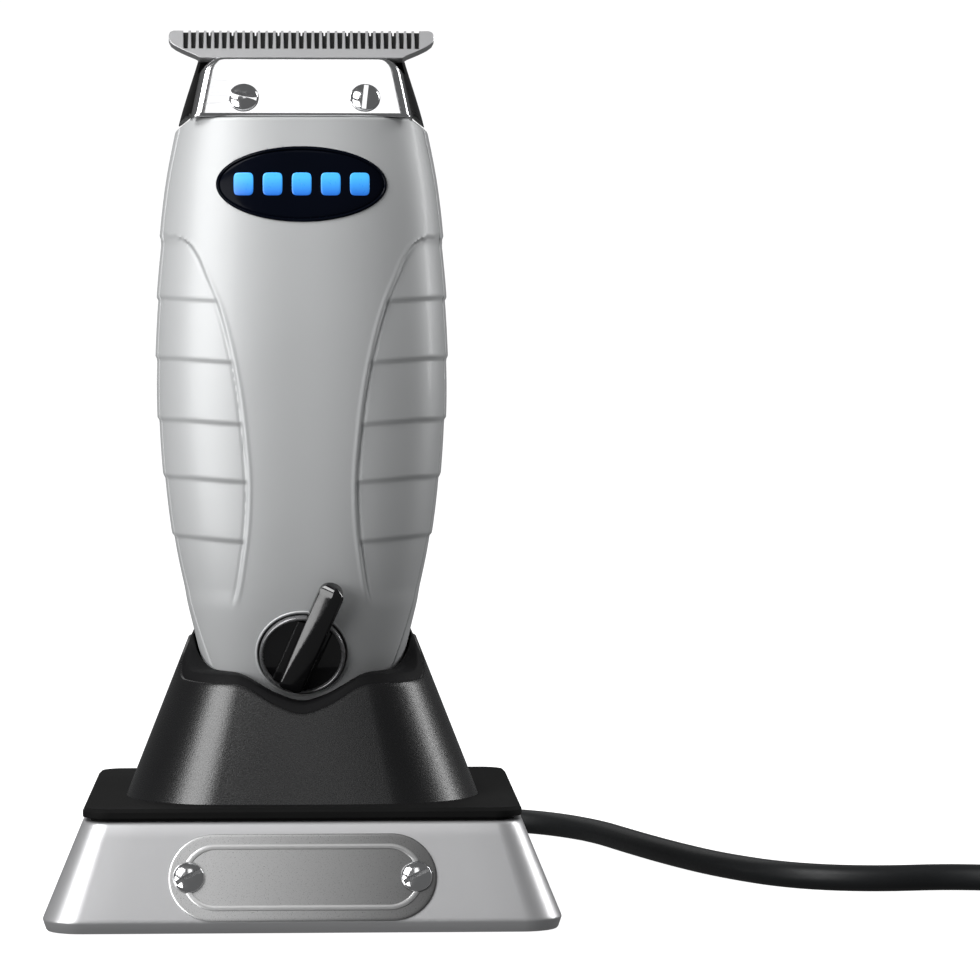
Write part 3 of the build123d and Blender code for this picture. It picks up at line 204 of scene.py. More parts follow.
def surface(name, dark, light, roughness, metallic=0.0, grain=1500.0, bump=0.02, patch=60.0,
            stretch=None, coat=0.0, specular=0.5, ramp=None):
    """A finish whose colour, roughness and fine grain all vary, as on a used or moulded surface.
    A ramp (axis, from, to) in metres lets the colour change along the object instead; on the badge
    plate and its lines it paints a reflection, light on the left and dark on the right."""
    material = bpy.data.materials.new(name)
    material.use_nodes = True
    nodes, links = material.node_tree.nodes, material.node_tree.links
    shader = nodes["Principled BSDF"]
    shader.inputs["Metallic"].default_value = metallic
    shader.inputs["Coat Weight"].default_value = coat
    shader.inputs["Coat Roughness"].default_value = 0.06
    shader.inputs["Specular IOR Level"].default_value = specular
    place = nodes.new("ShaderNodeTexCoord").outputs["Object"]
    broad = noise_texture(nodes, links, place, patch)
    fine = noise_texture(nodes, links, place, grain, 4.0, stretch)
    mix = nodes.new("ShaderNodeMix")
    mix.data_type = "RGBA"
    mix.inputs["A"].default_value = (*dark, 1)
    mix.inputs["B"].default_value = (*light, 1)
    if ramp:
        axis, start, end = ramp
        split, along = nodes.new("ShaderNodeSeparateXYZ"), nodes.new("ShaderNodeMapRange")
        along.inputs["From Min"].default_value = start
        along.inputs["From Max"].default_value = end
        links.new(place, split.inputs["Vector"])
        links.new(split.outputs[axis], along.inputs["Value"])
        links.new(along.outputs["Result"], mix.inputs["Factor"])
    else:
        links.new(ranged(nodes, links, broad, 0.0, 1.0), mix.inputs["Factor"])
    links.new(mix.outputs["Result"], shader.inputs["Base Color"])
    links.new(ranged(nodes, links, fine, roughness - 0.04, roughness + 0.05),
              shader.inputs["Roughness"])
    if bump:
        relief = nodes.new("ShaderNodeBump")
        relief.inputs["Strength"].default_value = bump
        relief.inputs["Distance"].default_value = 0.0002
        links.new(fine, relief.inputs["Height"])
        links.new(relief.outputs["Normal"], shader.inputs["Normal"])
    return material


FINISHES = {
    "housing_silver": surface("silver_paint", (0.59, 0.60, 0.605), (0.61, 0.62, 0.625), 0.50, 0.28,
                              grain=9000, bump=0.02, coat=0.08),
    "base_metal": surface("satin_metal", (0.66, 0.66, 0.67), (0.68, 0.68, 0.69), 0.38, 0.75,
                          grain=5200, bump=0.035),
    # painted reflection: the badge plate's colour runs from light at the left to dark at the right,
    # standing in for the lamps' reflection
    "badge_metal": surface("badge_metal", (0.76, 0.76, 0.76), (0.12, 0.12, 0.12), 0.30, 0.7,
                           grain=9000, bump=0.0, ramp=("X", -0.014, 0.022)),
    # painted reflection: the raised lines also run from light at the left to dark at the right
    "badge_line": surface("badge_line", (0.80, 0.80, 0.80), (0.42, 0.42, 0.42), 0.32, 0.6,
                          bump=0.01, ramp=("X", -0.020, 0.020)),
    "chrome": surface("chrome", (0.84, 0.84, 0.85), (0.86, 0.86, 0.87), 0.12, 1.0, bump=0.0),
    "blade_chrome": surface("blade_steel", (0.84, 0.84, 0.85), (0.86, 0.86, 0.87), 0.11, 1.0,
                            grain=1800, bump=0.006, stretch=(0.15, 1, 1)),
    "ground_edge": surface("ground_edge", (0.66, 0.66, 0.67), (0.70, 0.70, 0.71), 0.32, 0.85,
                           grain=4000, bump=0.02, stretch=(1, 0.1, 1)),
    "steel": surface("ground_steel", (0.36, 0.36, 0.37), (0.42, 0.42, 0.43), 0.32, 1.0,
                     grain=4000, bump=0.02, stretch=(1, 0.1, 1)),
    # painted shade: near-black steel for the cutter, standing in for the shade in the gaps between
    # the fixed blade's teeth
    "painted_shade_steel": surface("painted_shade_steel", (0.015, 0.015, 0.015), (0.03, 0.03, 0.03), 0.45, 0.3,
                          grain=4000, bump=0.02),
    "rim_grey": surface("rim_grey", (0.20, 0.20, 0.205), (0.24, 0.24, 0.245), 0.28, 0.6, bump=0.0),
    "gold": surface("gold_plate", (0.72, 0.50, 0.16), (0.83, 0.60, 0.22), 0.18, 1.0, bump=0.01),
    "black_satin": surface("black_satin", (0.004, 0.004, 0.0045), (0.007, 0.007, 0.0075), 0.27,
                           grain=4800, bump=0.10, specular=0.55),
    "black_plain": surface("black_plastic", (0.004, 0.004, 0.0045), (0.006, 0.006, 0.0065), 0.62,
                           grain=3000, bump=0.08, specular=0.14),
    "deck_black": surface("deck_black", (0.004, 0.004, 0.004), (0.006, 0.006, 0.006), 0.72,
                          grain=4800, bump=0.05, specular=0.12),
    "black_gloss": surface("black_gloss", (0.004, 0.004, 0.0045), (0.006, 0.006, 0.0065), 0.14,
                           grain=900, bump=0.004, coat=0.5, specular=0.5),
    "neck_black": surface("neck_black", (0.003, 0.003, 0.003), (0.005, 0.005, 0.005), 0.3,
                          grain=900, bump=0.004, specular=0.15),
    "lens_black": surface("lens_black", (0.002, 0.003, 0.006), (0.003, 0.004, 0.009), 0.16,
                          grain=700, bump=0.0, specular=0.05),
    "rubber": surface("rubber", (0.02, 0.02, 0.02), (0.03, 0.03, 0.03), 0.8, grain=1800, bump=0.2),
    "cord_black": surface("cord_black", (0.010, 0.011, 0.012), (0.014, 0.015, 0.016), 0.45,
                          grain=2200, bump=0.08, specular=0.35),
    "tie_black": surface("tie_black", (0.01, 0.01, 0.01), (0.02, 0.02, 0.02), 0.6, bump=0.2),
    "board_green": surface("board_green", (0.01, 0.09, 0.04), (0.02, 0.14, 0.06), 0.4, coat=0.3,
                           patch=400),
    "cell_wrap": surface("cell_wrap", (0.03, 0.10, 0.32), (0.04, 0.13, 0.38), 0.3, bump=0.02),
    "yoke_white": surface("yoke_white", (0.70, 0.69, 0.65), (0.78, 0.77, 0.73), 0.45, bump=0.05),
    "light_blue": surface("light_blue", (0.01, 0.08, 0.42), (0.05, 0.35, 0.80), 0.3, bump=0.0,
                          ramp=("Z", 0.1095, 0.1125)),
}
DECK_ROUND = 0.3


def light_up(material, strength):
    """Makes a finish glow in its own colours."""
    tree = material.node_tree
    shader = tree.nodes["Principled BSDF"]
    tree.links.new(tree.nodes["Mix"].outputs["Result"], shader.inputs["Emission Color"])
    shader.inputs["Emission Strength"].default_value = strength


def finish_cad_pieces():
    """Every CAD piece takes its slot's finish, and the deck's edges are rounded."""
    for subpart in frame["record"]["subparts"]:
        if subpart["node"] in frame["nodes"]:
            slots = frame["nodes"][subpart["node"]].data.materials
            slots.clear()
            slots.append(FINISHES[subpart["material_slot"]])
    for node, finish in (("stand_deck", "deck_black"), ("head_neck", "neck_black")):
        frame["nodes"][node].data.materials[0] = FINISHES[finish]
    deck = frame["nodes"]["stand_deck"]
    weld = deck.modifiers.new("weld", "WELD")
    weld.merge_threshold = 1e-6
    rounded = deck.modifiers.new("rounded", "BEVEL")
    rounded.width = DECK_ROUND * MM
    rounded.segments = 3
    rounded.limit_method = "ANGLE"
    rounded.angle_limit = math.radians(20)


# ---------------------------------------------------------------- camera, lights and floor
LIT_MIDDLE = Vector((0, 0, 0.08))
FLOOR_REACH = 6.0
# name, place in metres, width, height and power in watts
LIGHTS = [
    ("key_left", (-0.70, -0.62, 0.14), 0.80, 0.65, 7.4),
    ("high_left", (-0.58, -0.46, 0.85), 0.60, 0.45, 7.8),
    ("front_top", (0.04, -0.72, 0.90), 0.22, 0.40, 0.34),
    ("strip_right", (0.80, 0.22, 0.42), 0.15, 0.75, 3.4),
    ("back_fill", (-0.20, 0.90, 0.75), 0.60, 0.60, 0.9),
]


def add_camera():
    """Level with the middle of the clipper, far back, turned a little to the right and down."""
    data = bpy.data.cameras.new("camera")
    data.sensor_width = 36.0
    data.lens = 160.53
    camera = add_object("camera", data)
    camera.location = (0, -0.6805, 0.0909)
    camera.rotation_euler = Vector((0.188, 4.37, -0.17)).to_track_quat("-Z", "Y").to_euler()
    bpy.context.scene.camera = camera


def add_light(name, place, width, height, power):
    """A soft box: a white rectangular light that faces the middle of the object."""
    data = bpy.data.lights.new(name, "AREA")
    data.shape = "RECTANGLE"
    data.size, data.size_y = width, height
    data.energy = power
    lamp = add_object(name, data)
    lamp.location = place
    lamp.rotation_euler = (LIT_MIDDLE - Vector(place)).to_track_quat("-Z", "Y").to_euler()
    lamp.visible_camera = False


def add_world():
    """A pale studio: white behind the object, grey all round as it lights the object."""
    world = bpy.data.worlds.new("studio")
    bpy.context.scene.world = world
    world.use_nodes = True
    nodes, links = world.node_tree.nodes, world.node_tree.links
    nodes.clear()
    room, backdrop = nodes.new("ShaderNodeBackground"), nodes.new("ShaderNodeBackground")
    room.inputs["Color"].default_value = (0.98, 0.99, 1.0, 1)
    room.inputs["Strength"].default_value = 0.12
    backdrop.inputs["Color"].default_value = (1, 1, 1, 1)
    backdrop.inputs["Strength"].default_value = 1.05
    seen = nodes.new("ShaderNodeLightPath")
    choose, out = nodes.new("ShaderNodeMixShader"), nodes.new("ShaderNodeOutputWorld")
    links.new(seen.outputs["Is Camera Ray"], choose.inputs["Fac"])
    links.new(room.outputs["Background"], choose.inputs[1])
    links.new(backdrop.outputs["Background"], choose.inputs[2])
    links.new(choose.outputs["Shader"], out.inputs["Surface"])


def add_floor():
    """A wide pale floor that glows, so that it reads as white up to the horizon. It doesn't light
    the object or show in it."""
    mesh = bpy.data.meshes.new("floor")
    mesh.from_pydata([(x * FLOOR_REACH, y * FLOOR_REACH, 0)
                      for x, y in ((-1, -1), (1, -1), (1, 1), (-1, 1))], [], [(0, 1, 2, 3)])
    floor = add_object("floor", mesh)
    white = surface("floor_white", (0.55, 0.55, 0.55), (0.57, 0.57, 0.57), 0.9, bump=0.0,
                    specular=0.0)
    shader = white.node_tree.nodes["Principled BSDF"]
    shader.inputs["Emission Color"].default_value = (1, 1, 1, 1)
    shader.inputs["Emission Strength"].default_value = 1.0
    floor.data.materials.append(white)
    floor.visible_diffuse = floor.visible_glossy = False


# ---------------------------------------------------------------- the supply lead
FLOOR = CORD / 2
LEAD_ROUTE = [
    (0.0, 60.0, 8.8),
    (0.6, 75.0, 7.6),
    (8.5, 89.6, 4.4),
    (24.5, 96.4, FLOOR + 0.2),
    (40.6, 91.0, FLOOR),
    (50.4, 77.5, FLOOR),
    (56.0, 59.0, FLOOR),
    (62.2, 41.0, FLOOR),
    (68.6, 26.2, FLOOR),
    (77.6, 13.2, FLOOR),
    (90.0, 8.2, FLOOR),
    (105.0, 11.2, FLOOR),
    (120.0, 4.5, FLOOR),
    (135.4, -4.6, FLOOR),
]
TAIL_ROUTE = [
    (174.2, 18.0, 1.5 * CORD),
    (173.8, 37.0, 5.4),
    (168.4, 54.5, 5.0),
]
COIL_MIDDLE, COIL_RADIUS = (147.0, 20.0), 23.0
COIL_FIRST, COIL_LAST = 244.8, 355.8          # where the lead joins the coil and the tail leaves it
COIL_STEP, COIL_STEP_WIDTH = 150.0, 34.0      # the turns step over each other under the tie
# the coil's turns in order, as (column from the middle one outwards, layer from the table)
COIL_TURNS = [(1, 0), (0, 0), (-1, 0), (-1, 1), (-1, 2), (0, 3), (1, 3), (1, 2), (0, 2), (0, 1),
              (1, 1)]
POINTS_PER_TURN = 18


def coil_points():
    """Points along the coil's turns, each turn in its own place in the wound band."""
    total = 360 * (len(COIL_TURNS) - 1) + COIL_LAST - COIL_FIRST
    count = round(total / 360 * POINTS_PER_TURN)
    points = []
    for step in range(1, count):
        turned = total * step / count
        angle = COIL_FIRST + turned
        since = angle - COIL_STEP - 360 + COIL_STEP_WIDTH
        turn, rest = divmod(since, 360)
        turn = int(turn)
        share = smooth(rest / (2 * COIL_STEP_WIDTH))
        a = COIL_TURNS[min(max(turn, 0), len(COIL_TURNS) - 1)]
        b = COIL_TURNS[min(max(turn + 1, 0), len(COIL_TURNS) - 1)]
        if turn < 0:
            share = 0.0
        column = a[0] + (b[0] - a[0]) * share
        layer = a[1] + (b[1] - a[1]) * share
        radius = COIL_RADIUS + column * CORD + 0.12 * math.sin(5 * turned + turn)
        points.append((COIL_MIDDLE[0] + radius * math.cos(math.radians(angle)),
                       COIL_MIDDLE[1] + radius * math.sin(math.radians(angle)),
                       FLOOR + layer * CORD))
    return points


def add_cord():
    """The whole lead as one smooth line from the plug's strain relief to the adapter's."""
    route = LEAD_ROUTE + coil_points() + TAIL_ROUTE
    curve = bpy.data.curves.new("supply_lead", "CURVE")
    curve.dimensions = "3D"
    line = curve.splines.new("NURBS")
    line.points.add(len(route) - 1)
    for point, place in zip(line.points, route):
        point.co = (*(c * MM for c in place), 1.0)
    line.order_u = 3
    line.use_endpoint_u = True
    line.resolution_u = 6
    curve.bevel_depth = CORD / 2 * MM
    curve.bevel_resolution = 5
    curve.use_fill_caps = True
    lead = add_object("supply_lead", curve)
    curve.materials.append(FINISHES["cord_black"])
    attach(lead, "stand")
    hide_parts("cord_lead", "cord_coil", "cord_tail")


# ---------------------------------------------------------------- the clipper's housing
POWER = 2 / BODY_SQUARENESS
SHOULDER_HALF_WIDTH, SHOULDER_SLOPE = 16.7, 0.72   # where the top corners are cut, and how steeply
TOP_BEND = 112.0                                   # rows start following the cut corners from here
HOUSING_WALL = 1.5
SEAM_ROUND, SEAM_DEPTH = 0.45, 0.28                # rounded edges of both housings along the seam
# height, and how far from the middle the sunk side grip starts
GRIP_EDGE = [(42.0, 12.0), (45.5, 10.9), (49.5, 9.8), (53.9, 9.1), (59.6, 8.4), (66.6, 8.2),
             (73.1, 8.7), (79.8, 9.5), (86.6, 10.8), (92.9, 12.5), (97.6, 14.4), (101.1, 16.0),
             (103.2, 18.0), (104.0, 21.0), (106.0, 30.0)]
GRIP_DEPTH, GRIP_BEAD = 0.30, 0.09
GRIP_LOW, GRIP_HIGH = 46.5, 104.6                  # where the relief has faded out
REAR_GRIP_START = 3.0                              # the rear's grips start this much further out
GRIP_STEPS = (104.5, 94.4, 85.1, 75.7, 66.9, 57.8, 47.0)
GRIP_STEP_HEIGHT, GRIP_STEP_DROP = 0.30, 0.6       # proud lower edge, and its fall to the middle
BADGE_SEAT_DEPTH = 1.5
RECESS_RADIUS, RECESS_DEPTH = 7.0, 2.0
BORE_RADIUS, BORE_DEPTH = 2.3, 2.4
SKIN_SAMPLES = 2400                                # fine points along a row, before it is evened out
HOUSING_SCREWS = ((-14.6, 98.0), (14.6, 98.0), (0.0, 28.0))
face_knob = Face(KNOB_Y, KNOB_Z,
                 -math.cos(math.radians(KNOB_TILT)), -math.sin(math.radians(KNOB_TILT)))


def skin(z, turns):
    """Points of the body's skin at heights z; turns run round it, 270 degrees mid-face."""
    half_width, front, back = interpolate(BODY_STATIONS, z)
    c, s = np.cos(turns), np.sin(turns)
    return np.stack([half_width * np.sign(c) * np.abs(c) ** POWER,
                     (front + back) / 2 + (back - front) / 2 * np.sign(s) * np.abs(s) ** POWER,
                     z + 0 * turns], axis=-1)


def face_y(x, z):
    """How far forward the clipper's face lies at x and z."""
    half_width, front, back = interpolate(BODY_STATIONS, z)
    reach = (1 - np.minimum(1, np.abs(x) / half_width) ** BODY_SQUARENESS) ** (1 / BODY_SQUARENESS)
    return (front + back) / 2 - (back - front) / 2 * reach


def seam_turn(z):
    """The angle past the body's side at which the seam between the housings runs."""
    _, front, back = interpolate(BODY_STATIONS, z)
    sine = np.clip(((front + back) / 2 - SEAM_Y) / ((back - front) / 2), 0, 1) ** (1 / POWER)
    return np.arcsin(sine)


def grip_relief(x, z, start):
    """Depth of the shingled side grips; start is how much wider their middle field is."""
    inside = np.abs(x) - interpolate(GRIP_EDGE, z)[0] - start
    sunk = smooth((inside + 0.05) / 0.4)
    along = z + GRIP_STEP_DROP * (1 - np.clip(inside / 9, 0, 1))
    steps = np.zeros_like(z)
    for upper, lower in zip(GRIP_STEPS, GRIP_STEPS[1:]):
        share = np.clip((along - lower) / (upper - lower), 0, 1)
        rise = smooth((along - lower + 0.35) / 0.65)
        steps += np.where(along < upper - 0.35, GRIP_STEP_HEIGHT * rise * (1 - share), 0)
    bead = GRIP_BEAD * np.exp(-((inside + 0.3) / 0.25) ** 2)
    groove = 0.09 * np.exp(-((inside - 0.45) / 0.2) ** 2)
    fade = smooth((z - GRIP_LOW) / 3.5) * smooth((GRIP_HIGH - z) / 2.5)
    return (bead - groove - sunk * (GRIP_DEPTH + 0.1 - steps)) * fade


def face_relief(x, y, z):
    """The front housing's relief: side grips, the badge's seat and the switch's recess."""
    relief = grip_relief(x, z, 0)
    badge = np.hypot(x / (BADGE_WIDTH / 2 - 0.3), (z - BADGE_Z) / (BADGE_HEIGHT / 2 - 0.3))
    relief = relief - BADGE_SEAT_DEPTH * smooth((1 - badge) / 0.02)
    from_knob = np.hypot(x, (z - KNOB_Z) / math.cos(math.radians(KNOB_TILT)))
    return relief - RECESS_DEPTH * smooth((RECESS_RADIUS - from_knob) / 0.2)


def back_relief(x, y, z):
    """The rear housing's relief: side grips, and counterbores for the screws."""
    relief = grip_relief(x, z, REAR_GRIP_START)
    for screw_x, screw_z in HOUSING_SCREWS:
        away = np.hypot(x - screw_x, z - screw_z)
        bore = np.where(y > 0, smooth((BORE_RADIUS - away) / 0.3), 0)
        relief = relief * (1 - bore) - BORE_DEPTH * bore
    return relief


def housing(name, heights, columns, first_turn, last_turn, relief, closed_tail=False):
    """One housing: even rows of points from seam to seam, moved out or in along the skin."""
    grid = np.zeros((len(heights), columns, 3))
    edge = np.zeros((len(heights), columns))
    for row, z in enumerate(heights):
        turns = np.linspace(first_turn(z), last_turn(z), SKIN_SAMPLES)
        line = skin(np.full_like(turns, z), turns)
        along = np.concatenate([[0], np.cumsum(np.linalg.norm(np.diff(line, axis=0), axis=1))])
        at = np.linspace(0, along[-1], columns)
        turns = np.interp(at, along, turns)
        x = np.interp(at, along, line[:, 0])
        cut = np.minimum(0, (SHOULDER_HALF_WIDTH - np.abs(x)) * SHOULDER_SLOPE)
        lowered = z + cut * smooth((z - TOP_BEND) / (HOUSING_TOP - TOP_BEND))
        grid[row] = skin(lowered, turns)
        edge[row] = np.minimum(at, along[-1] - at)
    down, across = np.gradient(grid, axis=0), np.gradient(grid, axis=1)
    normal = np.cross(across, down)
    normal /= np.maximum(np.linalg.norm(normal, axis=2, keepdims=True), 1e-9)
    x, y, z = grid[..., 0], grid[..., 1], grid[..., 2]
    outwards = np.sign((normal[..., 0] * x + normal[..., 1] * y).mean())
    move = relief(x, y, z)
    from_top = HOUSING_TOP - np.array(heights)[:, None]
    move = move - SEAM_DEPTH * (1 - np.minimum(1, edge / SEAM_ROUND)) ** 2
    move = move - 0.2 * (1 - np.minimum(1, from_top / 0.4)) ** 2
    grid += normal * outwards * move[..., None]
    points, faces = grid.reshape(-1, 3), grid_faces(len(heights), columns)
    if closed_tail:
        points, faces = add_tail(points, faces, columns)
    new_piece(name, points, faces, "clipper", "housing_silver", (name,), wall=HOUSING_WALL)


def add_tail(points, faces, columns):
    """Rows that close the housing's tail, rounded at its edge."""
    ring = points[:columns]
    middle = ring.mean(axis=0)
    extra, start = [], len(points)
    for share, drop in ((0.985, -0.22), (0.95, -0.36), (0.88, -0.4), (0.5, -0.4), (0.02, -0.4)):
        row = middle + (ring - middle) * share
        row[:, 2] = ring[:, 2] + drop
        extra.append(row)
    faces = faces + [(i, start + i, start + i + 1, i + 1) for i in range(columns - 1)]
    faces += grid_faces(len(extra), columns, start=start)
    return np.concatenate([points, *extra]), faces


def row_heights(lowest, spacing):
    """Even heights up to the last millimetre, where the rows are closer."""
    return np.concatenate([np.arange(lowest, HOUSING_TOP - 1, spacing),
                           np.linspace(HOUSING_TOP - 1, HOUSING_TOP, 6)])


def add_housings():
    """The front and the rear housing, which meet along the seam."""
    lowest = next(z for z in np.arange(TAIL, 40, 0.05) if seam_turn(z) < math.pi / 2 - 0.02)
    housing("front_housing", row_heights(lowest, 0.34), 236,
            lambda z: math.pi + seam_turn(z), lambda z: 2 * math.pi - seam_turn(z), face_relief)
    housing("rear_housing", row_heights(TAIL + 0.4, 0.45), 240,
            lambda z: -seam_turn(z), lambda z: math.pi + seam_turn(z), back_relief,
            closed_tail=True)


def on_face(x, z, proud):
    """A point on the clipper's face, standing proud of it."""
    return (x, float(face_y(x, z)) - proud, z)


def ring_on_face(name, profile, slot, replaces, middle, radii, segments=120):
    """A ring that follows the face round an oval. The profile is (size, proud) pairs, the size
    being added to the oval's half width and half height."""
    points = [on_face((radii[0] + grow) * math.cos(2 * math.pi * k / segments) + middle[0],
                      middle[1] + (radii[1] + grow) * math.sin(2 * math.pi * k / segments), proud)
              for grow, proud in profile for k in range(segments)]
    faces = grid_faces(len(profile), segments, closed=True)
    new_piece(name, points, faces, "clipper", slot, replaces)


def patch_on_face(name, middles, radii, squareness, profile, slot, replaces, segments=96):
    """Closed plates that follow the face, each an oval or a rounded bar, from (share of its size,
    proud) pairs from its edge to its middle."""
    points, faces = [], []
    for x, z in middles:
        start = len(points)
        for share, proud in profile:
            for k in range(segments):
                c, s = math.cos(2 * math.pi * k / segments), math.sin(2 * math.pi * k / segments)
                points.append(on_face(
                    x + radii[0] * share * math.copysign(abs(c) ** (2 / squareness), c),
                    z + radii[1] * share * math.copysign(abs(s) ** (2 / squareness), s), proud))
        faces += grid_faces(len(profile), segments, closed=True, start=start)
    new_piece(name, points, faces, "clipper", slot, replaces)


def add_badge():
    """The glossy oval, its bezel and five plain light bars."""
    ring_on_face("badge_bezel", [(0.0, -0.4), (0.0, 0.12), (-0.12, 0.26), (-0.3, 0.3), (-0.45, 0.2),
                                 (-0.52, 0.05), (-0.55, -0.4)], "lens_black", ("badge_bezel",),
                 (0, BADGE_Z), (BADGE_WIDTH / 2, BADGE_HEIGHT / 2))
    plate = [(1.0, -1.2), (1.0, 0.0), (0.985, 0.08), (0.96, 0.12)]
    plate += [(share, 0.13) for share in np.linspace(0.9, 0.02, 14)]
    patch_on_face("badge_lens", [(0, BADGE_Z)],
                  (BADGE_WIDTH / 2 - BADGE_RIM, BADGE_HEIGHT / 2 - BADGE_RIM), 2, plate,
                  "lens_black", ("badge_lens",))
    bar = [(1.0, -0.3), (1.0, 0.12), (0.96, 0.18), (0.85, 0.2), (0.5, 0.2), (0.02, 0.2)]
    patch_on_face("charge_light_bars", [(4.4 * k, BADGE_Z) for k in range(-2, 3)], (1.5, 1.75), 5,
                  bar, "light_blue", ("charge_light_bars",), segments=40)


# ---------------------------------------------------------------- the switch
BAR_HALF_WIDTH, BAR_RADIUS = 2.85, 5.88
LEVER_NOSE, LEVER_HEEL = 1.6, 1.0                  # lengths of the lever's rounded ends


def turned(face, profile, middle=(0.0, 0.0), segments=96):
    """The points and faces of a profile of (radius, height) pairs turned round a face's normal."""
    points = [face.at(middle[0] + r * math.cos(2 * math.pi * k / segments),
                      middle[1] + r * math.sin(2 * math.pi * k / segments), n)
              for r, n in profile for k in range(segments)]
    return points, grid_faces(len(profile), segments, closed=True)


def lever_spot(along, across, up):
    """A point on the switch's face, in the lever's own directions."""
    turn = math.radians(-LEVER_ANGLE)
    return face_knob.at(math.sin(turn) * along + math.cos(turn) * across,
                        math.cos(turn) * along - math.sin(turn) * across, up)


def add_knob():
    """The round knob in its recess, with its rim and the recess's own."""
    ring_on_face("switch_recess_rim", [(0.42, -0.06), (0.32, -0.1), (0.24, 0.03), (0.12, 0.12),
                                       (-0.02, 0.12), (-0.12, 0.02), (-0.2, -0.16), (-0.22, -1.4)],
                 "housing_silver", (), (0, KNOB_Z),
                 (RECESS_RADIUS, RECESS_RADIUS * math.cos(math.radians(KNOB_TILT))))
    disc = [(0.02, 0.4), (2, 0.4), (4, 0.4), (5.5, 0.4), (5.9, 0.42), (5.95, 0.0), (6.5, 0.0),
            (6.58, -0.1), (6.58, -1.4), (0.02, -1.4)]
    points, faces = turned(face_knob, disc)
    new_piece("switch_knob", points, faces, "switch", "black_gloss", ("switch_knob",))
    rim = [(5.92, 0.0), (5.92, 0.55), (6.02, 0.75), (6.14, 0.84), (6.3, 0.86), (6.44, 0.78),
           (6.54, 0.6), (6.56, 0.0)]
    points, faces = turned(face_knob, rim)
    new_piece("switch_knob_rim", points, faces, "switch", "rim_grey", ())


def add_bar():
    """The raised bar across the knob, under the lever."""
    half = BAR_HALF_WIDTH
    section = [(-half, 0.3), (-half, 0.62), (-2.7, 0.82), (-2.5, 0.88), (2.5, 0.88), (2.7, 0.82),
               (half, 0.62), (half, 0.3)]
    rows = 9
    points = [lever_spot(math.sqrt(BAR_RADIUS**2 - b**2) * (2 * row / (rows - 1) - 1), b, n)
              for row in range(rows) for b, n in section]
    new_piece("switch_bar", points, grid_faces(rows, len(section)), "switch", "black_gloss", ())


def lever_section(a):
    """The lever's section at a along it: a flat top, and a facet that widens towards the nose."""
    half = LEVER_WIDTH / 2
    facet = 0.25 + 1.6 * smooth((a + LEVER_TAIL) / (LEVER_REACH + LEVER_TAIL))
    ridge = -half + 0.1 + facet
    past_nose, past_heel = a - LEVER_REACH + LEVER_NOSE, -LEVER_TAIL + LEVER_HEEL - a
    narrow = 1.0
    if past_nose > 0:
        narrow = math.sqrt(max(0.02, 1 - (past_nose / (LEVER_NOSE + 0.02)) ** 2))
    if past_heel > 0:
        narrow = math.sqrt(max(0.02, 1 - (past_heel / (LEVER_HEEL + 0.02)) ** 2))
    top = 0.9 + LEVER_HEIGHT * (0.55 + 0.45 * narrow)
    section = [(-half, 0.7), (-half, top - 0.75 * facet - 0.1), (-half + 0.1, top - 0.75 * facet),
               (ridge - 0.06, top - 0.04), (ridge + 0.06, top), (half - 0.5, top),
               (half - 0.42, top - 0.03), (half - 0.08, top - 0.37), (half, top - 0.5),
               (half, 0.7)]
    return [(b * narrow, n) for b, n in section]


def add_lever():
    """The long faceted lever, rounded at both ends."""
    places = np.concatenate([
        -LEVER_TAIL + LEVER_HEEL - LEVER_HEEL * np.cos(np.linspace(0, math.pi / 2, 6)),
        np.linspace(-LEVER_TAIL + LEVER_HEEL + 0.4, LEVER_REACH - LEVER_NOSE - 0.4, 14),
        LEVER_REACH - LEVER_NOSE + LEVER_NOSE * np.sin(np.linspace(0, math.pi / 2, 9))])
    sections = [[lever_spot(a, b, n) for b, n in lever_section(a)] for a in places]
    points, corners = sum(sections, []), len(sections[0])
    faces = grid_faces(len(places), corners)
    faces += [tuple(range(corners)), tuple(range(len(points) - corners, len(points)))]
    new_piece("switch_lever", points, faces, "switch", "black_gloss", ("switch_lever",), sharp=28)


# ---------------------------------------------------------------- the blades
face_blade = Face(BLADE_TIP_Y, BLADE_TIP_Z, -math.cos(math.radians(BLADE_TILT)),
                  math.sin(math.radians(BLADE_TILT)))
BLADE_THICKNESS = 1.6
GAP_PITCH, GAP_LENGTH, GAP_COUNT = 1.18, 3.3, 31   # the gaps between the fixed blade's teeth
GAP_MOUTH, GAP_ROOT = 0.39, 0.31                   # half widths of a gap
PLATE_TOP, PLATE_FOOT = -4.9, -15.0
PLATE_HALF_WIDTH, PLATE_SPREAD = 15.1, 1.85        # at its top, and how much wider its foot is
PLATE_CORNER, PLATE_ROLL, PLATE_TURN_DOWN = 2.4, 1.7, 1.5
CUTTER_HALF_WIDTH, CUTTER_BODY, CUTTER_THICKNESS = 18.7, 12.5, 1.1
NOTCH_PITCH, NOTCH_COUNT = 1.76, 19


def add_fixed_blade():
    """The fixed blade: a bar of tapered teeth that thin towards their tips."""
    half_bar = BLADE_WIDTH / 2
    comb = [(half_bar - 0.7, 0.0), (half_bar - 0.2, -0.25), (half_bar, -0.8), (half_bar, -1.7),
            (half_bar - 0.35, -2.35)]
    comb += [(19.2, -2.95), (18.4, -3.4), (17.3, -3.95), (16.2, -4.45), (15.5, -4.9)]
    outline = [(-x, v) for x, v in comb[::-1]]
    for k in range(GAP_COUNT):
        middle = -(GAP_COUNT - 1) / 2 * GAP_PITCH + k * GAP_PITCH
        outline += [(middle - GAP_MOUTH, 0.0), (middle - GAP_ROOT, -GAP_LENGTH),
                    (middle + GAP_ROOT, -GAP_LENGTH), (middle + GAP_MOUTH, 0.0)]
    outline += comb
    points = [face_blade.at(x, v, n_root + (n_tip - n_root) * smooth(1 + v / 2.6))
              for n_root, n_tip in ((0.0, -0.45), (-BLADE_THICKNESS, -1.05)) for x, v in outline]
    new_piece("fixed_blade", points, prism_faces(len(outline)), "clipper", "ground_edge",
              ("fixed_blade",), bevel=0.07)


